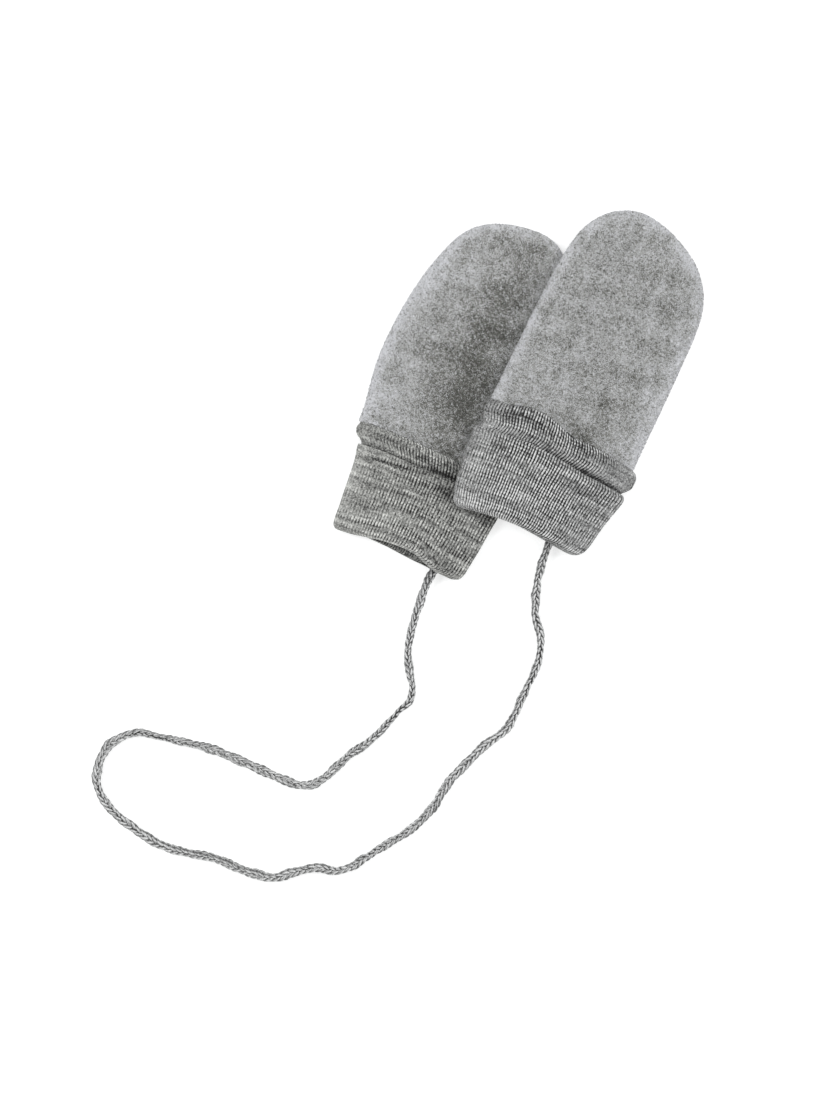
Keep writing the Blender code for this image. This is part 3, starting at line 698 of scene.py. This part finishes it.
def softSum(folds, x, y):
    total = np.zeros(np.broadcast(x, y).shape)
    for fold in folds:
        angle = math.radians(fold.angle)
        dx = x - fold.across
        dy = y - fold.up
        along = dx * math.cos(angle) + dy * math.sin(angle)
        off = dy * math.cos(angle) - dx * math.sin(angle)
        fade = -(2 * along / fold.length) ** 2 - (off / fold.width) ** 2
        total = total + fold.rise * np.exp(fade)
    return total


def shelfHeight(mitten, x, y):
    if not mitten["shelf"]:
        return np.zeros(np.broadcast(x, y).shape)
    edge = readTable(mitten["shelf"], "up", "edge", y)
    height = readTable(mitten["shelf"], "up", "height", y)
    return height * (1.0 - smoothStep(0.0, layers["shelfRun"], x - edge))


# 1 where the mitten swells freely, 0 where the other one lies on it
def pressedShare(mitten, x, y):
    if mitten["pressed"] is None:
        return np.ones(np.broadcast(x, y).shape)
    west, east, low, high = mitten["pressed"]
    return 1.0 - smoothStep(west, east, x) * smoothStep(low, high, y)


# how far a point of a cuff or a hand is moved along it by the wavy edges
def edgeWave(mitten, x, up, front):
    mouth = readTable(mitten["lines"], "across", "mouth", x)
    under = readTable(mitten["lines"], "across", "under", x)
    atMouth = front * mouth + (1.0 - front) * under
    atTurn = readTable(mitten["lines"], "across", "turn", x) - mitten["turn"]
    ends = (mitten["lines"][0], mitten["lines"][-1])
    straight = np.interp(x, [end.across for end in ends], [end.wrist for end in ends])
    wrist = readTable(mitten["lines"], "across", "wrist", x)
    atWrist = front * wrist + (1.0 - front) * straight - mitten["wrist"]
    low = np.clip(up / mitten["turn"], 0.0, 1.0)
    high = np.clip((up - mitten["turn"]) / (mitten["wrist"] - mitten["turn"]), 0.0, 1.0)
    fade = 1.0 - smoothStep(mitten["wrist"], mitten["wrist"] + 22.0, up)
    return (atMouth * (1 - low) + (atTurn * (1 - high) + atWrist * high) * low) * fade


def swellHeight(mitten, x, y, inset):
    rise = readTable(mitten["swell"], "up", "rise", y)
    t = np.clip((inset - 2.0) / layers["pillow"], 0.0, 1.0)
    return rise * t * (2.0 - t) * pressedShare(mitten, x, y)


def handRoom(mitten, x, up, west, east):
    middle = (west + east) / 2
    across = np.clip((x - middle) / ((east - west) / 2), -1.0, 1.0)
    atWrist = swellHeight(mitten, x, mitten["wrist"], (1 - np.abs(across)) * (east - west) / 2)
    nearWrist = smoothStep(mitten["turn"] + 3.0, mitten["wrist"], up)
    opened = readTable(mitten["cuff"], "up", "room", up) * (1 - across ** 2) * (1 - nearWrist)
    room = layers["room"] + opened * pressedShare(mitten, x, up)
    room = room + nearWrist * (layers["wristRoom"] + atWrist)
    off = np.exp(-((x - mitten["cordAcross"]) / layers["cordSpread"]) ** 2)
    nearCord = off * (1.0 - smoothStep(*layers["cordHidden"], up))
    return room + np.maximum(layers["cordRoom"] - room, 0.0) * nearCord


ribCuff = {
    "rise": 0.5,               # how far a rib stands above the furrow beside it
    "ribPoints": 6,            # mesh points across one front rib
    "backPoints": 4,
    "courseHeight": 1.5,       # one row of stitches
    "stitchShape": (0.0, 1.0, 0.7),   # height of the mesh rings over one row
    "stitchRise": 0.16,
    "stitchSlant": 0.5,        # how far the legs of a stitch slant, in courses
    "sideAt": 2.5,             # how far in from a side its rounding is measured
    "plain": (30.0, 20.0, 13.0),      # heights of the mesh rings where no rib shows
    "mouth": table(mouthBend, [
        (160, 0.3, 0), (135, 0.7, 0), (112, 1.0, 1), (90, 1.0, 0), (68, 1.0, 1), (45, 1.0, 0),
        (22, 1.0, 0.5),
    ]),
    "ripple": (0.1, 0.12),     # small and broad unevenness of the front
    "wander": 0.25,            # how far the courses stray
    "stray": 0.12,             # how far the ribs do
    "inside": -0.12,           # painted shade inside the mouth
    "tones": [(0.0, 14), (0.28, 56), (0.56, 131), (0.8, 179), (1.0, 218)],
    "flat": (0.150, 0.090),    # the tube's cut: round it and along it
}


def ribMaterial(mitten):
    material, tree, shader = newMaterial(mitten["name"] + " rib knit", roughness=0.88, sheen=0.15)
    ribs = attributeValue(tree, "ribs")
    run = attributeValue(tree, "run")
    clear = attributeValue(tree, "clear")
    course = maths(tree, "DIVIDE", run, ribCuff["courseHeight"])

    def yarnNoise(across, perRib, along, perStep, shift, detail, roughness):
        x = maths(tree, "MULTIPLY", across, perRib)
        y = maths(tree, "MULTIPLY", along, perStep)
        place = spotAt(tree, x, y, float(mitten["seed"]) + shift)
        return noiseValue(tree, place, 1.0, detail, roughness)

    # the yarn's grey changes along each course, from course to course and from stitch to stitch
    streak = yarnNoise(ribs, 0.065, course, 0.9, 0.0, 2.0, 0.6)
    band = yarnNoise(ribs, 0.03, run, 0.3, 4.0, 1.5, 0.5)
    # each rib and furrow changes for itself every few stitches
    column = maths(tree, "FLOOR", maths(tree, "MULTIPLY_ADD", ribs, 2.0, 0.5))
    ticks = maths(tree, "SUBTRACT", yarnNoise(column, 3.7, run, 0.42, 0.0, 1.0, 0.5), 0.5)
    ticks = maths(tree, "MULTIPLY", ticks, maths(tree, "ADD", clear, 0.25))
    # and in some courses the ribs hardly show
    patch = yarnNoise(ribs, 0.07, run, 0.24, 9.0, 1.5, 0.5)
    patch = maths(tree, "MULTIPLY_ADD", patch, mitten["patchy"], 1.0 - mitten["patchy"] / 2)
    shown = maths(tree, "MULTIPLY", maths(tree, "MAXIMUM", patch, 0.1), clear)
    fine = noiseValue(tree, objectSpot(tree), 1300.0, 2.5, 0.7)
    tone = weighed(tree, 0.545, [
        # paler rib crests and stitch tops and darker furrows: painted light and shade
        (maths(tree, "MULTIPLY", attributeValue(tree, "crest"), shown), 0.0, 0.68),
        (maths(tree, "MULTIPLY", attributeValue(tree, "stitch"), shown), 0.0, 0.36),
        (streak, 0.5, mitten["streaks"]),
        (band, 0.5, mitten["bands"]),
        (ticks, 0.0, mitten["broken"]),
        (fine, 0.5, 1.35),
        (attributeValue(tree, "shade"), 0.0, 1.0),
    ])
    stops = [(spot, level, mitten["warm"]) for spot, level in ribCuff["tones"]]
    finishWool(tree, shader, greyRamp(tree, tone, stops), fine, 0.7, 0.00012)
    return material


# one ring of a cuff, out from the inner layer's outer face; a turn of 0 to 1 runs over the front
# from west to east, 1 to 2 back under it
def cuffRing(mitten, ring, turns):
    up = ring.up
    out = ring.out
    westEdge, eastEdge, lift = (float(readTable(mitten["cuff"], "up", name, up))
                                for name in ("west", "east", "lift"))
    west = westEdge - out
    east = eastEdge + out
    low = lift - out

    def topHeight(x):
        return lift + 2 * layers["rib"] + handRoom(mitten, x, up, westEdge, eastEdge) + out

    sides = (west + ribCuff["sideAt"], east - ribCuff["sideAt"])
    westRadius, eastRadius = ((float(topHeight(np.array(x))) - low) / 2 for x in sides)
    westArc = westRadius * math.pi / 2
    flat = east - west - (westRadius + eastRadius)
    length = westArc + flat + eastRadius * math.pi / 2
    under = turns > 1.0
    run = np.where(under, 2.0 - turns, turns) * length
    atWest = run < westArc
    atEast = run > westArc + flat
    westAngle = np.clip(run / westRadius, 0.0, math.pi / 2)
    eastAngle = np.clip((length - run) / eastRadius, 0.0, math.pi / 2)
    x = west + westRadius + run - westArc
    x = np.where(atWest, west + westRadius * (1 - np.cos(westAngle)), x)
    x = np.where(atEast, east - eastRadius * (1 - np.cos(eastAngle)), x)
    height = np.where(atWest, np.sin(westAngle), np.where(atEast, np.sin(eastAngle), 1.0))
    normalX = np.where(atWest, -np.cos(westAngle), np.where(atEast, np.cos(eastAngle), 0.0))
    side = np.where(under, -1.0, 1.0)
    front = 0.5 + 0.5 * side * height
    top = topHeight(x)
    z = (top + low) / 2 + side * height * (top - low) / 2
    # each rib is a column of stitches, whose legs meet on its crest
    share = (turns * mitten["ribs"]) % 1.0
    crest = np.sin(math.pi * share)
    stitch = crest * ring.stitch * ring.ribShare
    # on the front the ribs stand out, and on the back the furrows cut in, so that it lies flat
    sunk = np.where(under, smoothStep(0.0, 0.9, height), 0.0)
    rise = ribCuff["rise"] * (crest ** 0.8 - sunk) + ribCuff["stitchRise"] * (stitch - sunk)
    # ribs stand out more in some places than in others
    clear = readTable(mitten["clear"], "across", "share", x) + softSum(mitten["dull"], x, up)
    clear = np.maximum(clear, 0.0)
    rise = rise * ring.ribShare * (sunk + (1.0 - sunk) * (0.3 + 0.7 * clear))
    stray = softNoise(x, up + out, 7.0, mitten["seed"] + 8) * ribCuff["stray"] * (height - 0.3)
    x = x + normalX * rise + stray
    z = z + side * height * rise
    slant = abs(2 * share - 1) * ribCuff["stitchSlant"] * ribCuff["courseHeight"] * ring.slant
    y = up + edgeWave(mitten, x, up, front) + slant
    over = np.where(under, 0.0, smoothStep(0.0, 1.0, height))
    level = np.full_like(x, up)
    z = z + softSum(mitten["folds"], x, level) * over
    small, broad = ribCuff["ripple"]
    ripple = softNoise(x / 2.6, level + out * 3, 6.0, mitten["seed"]) * small
    ripple = ripple + softNoise(x, level, 17.0, mitten["seed"] + 1) * broad
    z = z + ripple * over * (ring.ribShare > 0)
    z = z + shelfHeight(mitten, x, y)
    # paler and darker patches on the front, mostly painted light and shade
    tone = softSum(mitten["knit"], x, level) * front
    # a painted shadow on the layer behind the turned-up edge, along it
    if out < 0.1:
        tone = tone + softSum(mitten["troughShade"], x, level) * front
    # painted shade inside the mouth
    if out < -0.1:
        tone = tone + ribCuff["inside"]
    points = np.column_stack([x, y, z])
    # the crest and stitch tones are painted light on crests and painted shade in furrows
    return points, crest ** 0.7 - 0.72, stitch - 0.36 * ring.ribShare, tone, clear


# each ring: height, distance out, rib share, stitch height and slant, round the wall's section
def cuffRings(mitten):
    rib = layers["rib"]
    gap = layers["gap"]
    turn = mitten["turn"]
    wrist = mitten["wrist"] - gap / 2
    over = rib + gap
    bend = (over + rib) / 2
    plain = (*ribCuff["plain"], bend)
    shape = ribCuff["stitchShape"]
    step = ribCuff["courseHeight"] / len(shape)
    rings = []
    for k, up in enumerate(np.arange(bend, turn - 0.55, step)):
        slant = smoothStep(bend, bend + 2.0, up) * smoothStep(0.4, 2.4, turn - up)
        rings.append(clothRing(up, over, 1.0, shape[k % len(shape)], slant))
    rings += table(clothRing, [
        (turn - 0.3, over, 1.0, 0.6, 0.0), (turn - 0.05, over - 0.12, 0.8, 0.2, 0.0),
        (turn, over - 0.4, 0.4, 0.0, 0.0), (turn, gap + 0.15, 0.0, 0.0, 0.0),
    ])
    rings += [clothRing(up, gap, 0.0, 0.0, 0.0) for up in plain]
    rings += [clothRing(up, 0.0, 0.0, 0.0, 0.0) for up in plain[::-1]]
    rings += [clothRing(turn - 1.0, 0.0, 0.3, 0.0, 0.0)]
    for k, up in enumerate(np.linspace(turn - 0.2, wrist, int((wrist - turn) / step) + 2)):
        slant = smoothStep(turn, turn + 2.0, up) * smoothStep(0.0, 1.5, wrist - up)
        rings.append(clothRing(up, 0.0, 1.0, shape[k % len(shape)], slant))
    inside = (wrist, turn + 0.5 * (wrist - turn), turn) + plain
    rings += [clothRing(up, -rib, 0.0, 0.0, 0.0) for up in inside]
    for each in ribCuff["mouth"]:
        angle = math.radians(each.degrees)
        up = bend * (1 - math.sin(angle))
        out = over - bend + bend * math.cos(angle)
        rings.append(clothRing(up, out, each.ribShare, each.stitch, 0.0))
    return rings


def buildCuff(mitten):
    ribs = mitten["ribs"]
    onFront = ribs * ribCuff["ribPoints"]
    onBack = ribs * ribCuff["backPoints"]
    turns = np.concatenate([np.arange(onFront) / onFront, 1.0 + np.arange(onBack) / onBack])
    rings = cuffRings(mitten)
    made = zip(*[cuffRing(mitten, ring, turns) for ring in rings])
    points, crests, stitches, tones, clears = (np.concatenate(each) for each in made)
    steps = [math.hypot(a.up - b.up, a.out - b.out) for a, b in zip(rings, rings[1:])]
    runs = np.repeat(np.concatenate(([0.0], np.cumsum(steps))), len(turns))
    grid = np.arange(len(points)).reshape(len(rings), len(turns))
    following = np.roll(grid, -1, axis=0)
    corners = [grid, np.roll(grid, -1, axis=1), np.roll(following, -1, axis=1), following]
    quads = np.stack(corners, axis=-1).reshape(-1, 4)
    wander = softNoise(points[:, 0] / 2, points[:, 1], 26.0, mitten["seed"] + 3)
    wander = wander * ribCuff["wander"]
    piece = meshPiece(mitten["name"] + "RibCuff", points, [quads], mitten["place"])
    floatAttributes(piece, ribs=np.tile(turns, len(rings)) * ribs, run=runs + wander,
                    crest=crests, stitch=stitches, shade=tones, clear=clears)
    piece.data.materials.append(ribMaterial(mitten))
    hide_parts(mitten["name"] + "_cuff")
    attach(piece, "root")


fleecePanel = {
    "insets": (0.0, 0.25, 0.6, 1.1, 1.8, 2.6, 3.6),    # mesh lines in from the edge, and then
    "insetRest": (4.8, 31.0, 1.4),                     # from, to and how far apart
    "stations": (0.0, 0.35, 0.8, 1.4, 2.2, 3.4),       # mesh lines up from the wrist
    "stationRest": (5.0, 1.0, 2.2),
    "rays": 64,                # mesh lines round the tip
    "uneven": 0.22,            # slow rise and fall of the surface
    "clouds": 0.13,            # how much the wool's tone drifts, and the back's share of it
    "backClouds": 0.6,
    "rim": (0.4, 8.0),         # painted light: how much paler the edge is, and how far in
    "tones": [(0.0, 86, 0.09), (0.35, 134, 0.07), (0.62, 169, 0.02), (1.0, 212, -0.04)],
    "hairs": {"front": 60000, "back": 16000},
    "hairTone": (3.5, 4.0),    # the hairs' tone in even wool, and how it follows the clouds and the painted light and shade
    "hairSpread": (1.1, 1.8),  # how mixed it is in dark wool, and how much more in pale wool
    "hairSpecks": 0.6,
    "hairSizes": {
        "length": (0.3, 1.0), "lift": (0.1, 0.4), "tip": (0.0, 0.5), "curl": 0.3,
        "width": (0.18, 0.31),
    },
    "flat": (0.080, 0.118),    # the panel's cut
    "area": 0.0081,
}


def fleeceMaterial(side):
    material, tree, shader = newMaterial(side + " brushed fleece", roughness=0.95, sheen=0.3)
    spot = objectSpot(tree)
    small = noiseValue(tree, spot, 520.0, 3.0, 0.6, 0.6)
    fine = noiseValue(tree, spot, 1200.0, 3.0, 0.7, 0.6)
    heather = attributeValue(tree, "heather")
    tone = weighed(tree, 0.0, [(heather, 0.0, 1.0), (small, 0.5, 0.7), (fine, 0.5, 2.4)])
    height = weighed(tree, 0.5, [(fine, 0.5, 0.9), (small, 0.5, 0.6)])
    finishWool(tree, shader, greyRamp(tree, tone, fleecePanel["tones"]), height, 0.9, 0.0005)
    return material


# clouds of darker and lighter wool with painted light along the rim and, on the front, the wool
# patches of painted light and shade; about 0 to 1, in the mitten's own frame
def heatherLightAndShadeAt(mitten, side, x, y, inset):
    front = side == "front"
    seed = mitten["clouds"] + (0 if front else 50)
    clouds = 0.6 * softNoise(x, y, 15.0, seed) + 0.42 * softNoise(x, y, 6.5, seed + 100, 24)
    paler, reach = fleecePanel["rim"]
    share = fleecePanel["clouds"] * (1.0 if front else fleecePanel["backClouds"])
    # painted light along the rim
    tone = 0.5 + share * clouds + paler * (1.0 - smoothStep(0.0, reach, inset))
    # on the front, the wool patches: some wool tone, mostly painted light and shade
    return tone + (softSum(mitten["wool"], x, y) if front else 0.0)


# plan of a panel: rows from the outline in to the middle line
def panelRows(mitten):
    edge = curveThrough(mitten["outline"], 24)
    top = int(np.argmax(edge[:, 1]))
    westSide = edge[:top]
    eastSide = edge[top:][::-1]
    tip = mitten["tip"]
    start = mitten["wrist"] + layers["gap"] / 2
    first, short, step = fleecePanel["stationRest"]
    stations = [start + rise for rise in fleecePanel["stations"]]
    stations += [*np.arange(start + first, tip.up - short, step), tip.up]
    wristMiddle = (edge[0, 0] + edge[-1, 0]) / 2

    def row(line, k):
        y = stations[k]
        spine = wristMiddle + (tip.across - wristMiddle) * smoothStep(start, tip.up, y)
        return (np.interp(y, line[:, 1], line[:, 0]), y), (float(spine), y), k

    last = len(stations) - 1
    rows = [row(westSide, k) for k in range(len(stations))]
    lean = np.arctan2(edge[:, 0] - tip.across, edge[:, 1] - tip.up)
    reach = np.hypot(edge[:, 0] - tip.across, edge[:, 1] - tip.up)
    for ray in range(1, fleecePanel["rays"]):
        a = math.pi * (ray / fleecePanel["rays"] - 0.5)
        r = float(np.interp(a, lean, reach))
        rim = (tip.across + r * math.sin(a), tip.up + r * math.cos(a))
        rows.append((rim, tuple(tip), last))
    return rows + [row(eastSide, k) for k in range(last, -1, -1)]


def panelPoints(mitten, side, x, up, inset, outer):
    t = np.minimum(inset / layers["edgeRound"], 1.0)
    rounding = np.sqrt(1.0 - (1.0 - t) ** 2)
    drawn = 1.0 - smoothStep(0.0, layers["dipRun"], up - mitten["wrist"])
    front = side == "front"
    y = up + edgeWave(mitten, x, up, 1.0 if front else 0.0)
    fleece = layers["fleece"]
    if front:
        z = fleece + layers["gap"] + swellHeight(mitten, x, up, inset)
        skin = fleece * rounding - layers["wristDip"] * drawn * t
        skin = skin + softSum(mitten["folds"], x, up) * t
        seed = mitten["seed"] + 20
        uneven = softNoise(x, up, 19.0, seed) + 0.6 * softNoise(x, up, 9.0, seed + 1)
        skin = skin + fleecePanel["uneven"] * uneven * smoothStep(1.0, 6.0, inset)
        z = z + np.where(outer, skin, 0.0)
    else:
        z = fleece - np.where(outer, (fleece - layers["backDip"] * drawn) * rounding, 0.0)
    return np.column_stack([x, y, z + shelfHeight(mitten, x, y)])


def buildPanel(mitten, side):
    front = side == "front"
    rows = panelRows(mitten)
    insets = [*fleecePanel["insets"], *np.arange(*fleecePanel["insetRest"])]
    index = {}
    data = []
    quads = []
    tris = []
    outerFace = []

    def vertex(key, *values):
        if key not in index:
            index[key] = len(data)
            data.append(values)
        return index[key]

    # a face with no corner twice
    def addFace(corners, asGiven, isOuter):
        face = list(dict.fromkeys(corners))
        face = face if asGiven else face[::-1]
        if len(face) == 4:
            quads.append(face)
            outerFace.append(isOuter)
        else:
            tris.append(face)

    grids = {}
    for outer in (True, False):
        grid = []
        for r, (rim, middle, station) in enumerate(rows):
            span = math.dist(rim, middle)
            line = []
            for c, inset in enumerate(insets + [span]):
                share = inset / span
                x = rim[0] + (middle[0] - rim[0]) * share
                up = rim[1] + (middle[1] - rim[1]) * share
                key = (outer, "middle", station) if c == len(insets) else (outer, r, c)
                if c == 0:
                    key = ("rim", r)
                line.append(vertex(key, x, up, inset, outer))
            grid.append(line)
        grids[outer] = grid
        for a, b in zip(grid, grid[1:]):
            for c in range(len(a) - 1):
                addFace([a[c], b[c], b[c + 1], a[c + 1]], outer != front, outer)
    # the cut edge at the wrist
    for r, reverse in ((0, False), (-1, True)):
        a = grids[True][r]
        b = grids[False][r]
        for c in range(len(a) - 1):
            addFace([a[c], a[c + 1], b[c + 1], b[c]], reverse == front, True)
    x, up, inset, outer = (np.array(column) for column in zip(*data))
    points = panelPoints(mitten, side, x, up, inset, outer.astype(bool))
    points += np.array([*mitten["place"], 0.0])
    quads = np.array(quads)
    tris = np.array(tris)
    piece = meshPiece(mitten["name"] + "Fleece" + side.capitalize(), points, [quads, tris])
    floatAttributes(piece, heather=heatherLightAndShadeAt(mitten, side, x, up, inset))
    piece.data.set_sharp_from_angle(angle=math.radians(55))
    piece.data.materials.append(fleeceMaterial(mitten["name"] + " " + side))
    middles = tris[:, [0, 1, 2, 2]]
    faces = np.concatenate([quads, middles])
    outerFace = np.concatenate([outerFace, outer[middles].min(axis=1)])
    hairs = buildFleeceHairs(mitten, side, points, faces, outerFace, inset)
    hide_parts(mitten["name"] + "_" + side)
    for each in (piece, hairs):
        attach(each, "root")


def buildFleeceHairs(mitten, side, points, quads, outerFace, inset):
    seed = mitten["seed"]
    rng = np.random.default_rng(seed + (100 if side == "front" else 200))
    count = fleecePanel["hairs"][side]
    chosen, spot, normal = scatterOn(points, quads, outerFace.astype(float), count, rng)
    across = spot[:, 0] - mitten["place"][0]
    up = spot[:, 1] - mitten["place"][1]
    heather = heatherLightAndShadeAt(mitten, side, across, up, inset[quads[chosen]].mean(axis=1))
    specks = softNoise(across, up, 3.2, seed + 31, 40)
    specks = specks + 1.2 * softNoise(across, up, 1.7, seed + 32, 60)
    specks = specks + 0.3 * np.minimum(specks, 0.0)
    even, follow = fleecePanel["hairTone"]
    mixed, more = fleecePanel["hairSpread"]
    spread = mixed + more * np.clip(heather, 0.0, 1.0)
    tone = even + (heather - 0.5) * follow + fleecePanel["hairSpecks"] * specks
    tone = hairTone(tone + rng.normal(0.0, 1.0, count) * spread)
    name = mitten["name"] + "Hairs" + side.capitalize()
    return buildHairs(name, spot, normal, tone, fleecePanel["hairSizes"], rng)


for mitten in (leftMitten, rightMitten):
    for side in ("back", "front"):
        buildPanel(mitten, side)
    print(mitten["name"], "hand made")
    buildCuff(mitten)
    print(mitten["name"], "cuff made")


studio = {
    "floor": 205,              # its grey, out of 255
    "floorHalf": 15.0,         # this and the next are in metres
    "floorDrop": 0.0002,
    "floorGlow": 0.55,
    "fill": 0.7,
    "lamps": [                 # place and strength
        ((0.95, 0.75, 1.1), 9.0),
        ((-1.0, -0.15, 1.1), 8.6),
    ],
    "lampSize": 0.7,
}


def addStudio():
    half = studio["floorHalf"]
    low = -studio["floorDrop"]
    floorMesh = bpy.data.meshes.new("floor")
    corners = [(-half, -half, low), (half, -half, low), (half, half, low), (-half, half, low)]
    floorMesh.from_pydata(corners, [], [(0, 1, 2, 3)])
    floor = bpy.data.objects.new("floor", floorMesh)
    scene.collection.objects.link(floor)
    material, tree, shader = newMaterial("pale floor", roughness=0.9)
    shader.inputs["Base Color"].default_value = grey(studio["floor"])
    shader.inputs["Emission Color"].default_value = (1.0, 1.0, 1.0, 1.0)
    shader.inputs["Emission Strength"].default_value = studio["floorGlow"]
    floorMesh.materials.append(material)
    for number, (place, strength) in enumerate(studio["lamps"]):
        lamp = bpy.data.lights.new("lamp%d" % number, "AREA")
        lamp.shape = "DISK"
        lamp.size = studio["lampSize"]
        lamp.energy = strength
        light = bpy.data.objects.new("lamp%d" % number, lamp)
        light.location = place
        light.rotation_euler = Vector(place).to_track_quat("Z", "Y").to_euler()
        scene.collection.objects.link(light)
    world = bpy.data.worlds.new("studio")
    world.use_nodes = True
    background = world.node_tree.nodes["Background"]
    background.inputs["Color"].default_value = (1.0, 1.0, 1.0, 1.0)
    background.inputs["Strength"].default_value = studio["fill"]
    scene.world = world


addStudio()
print("studio lit")
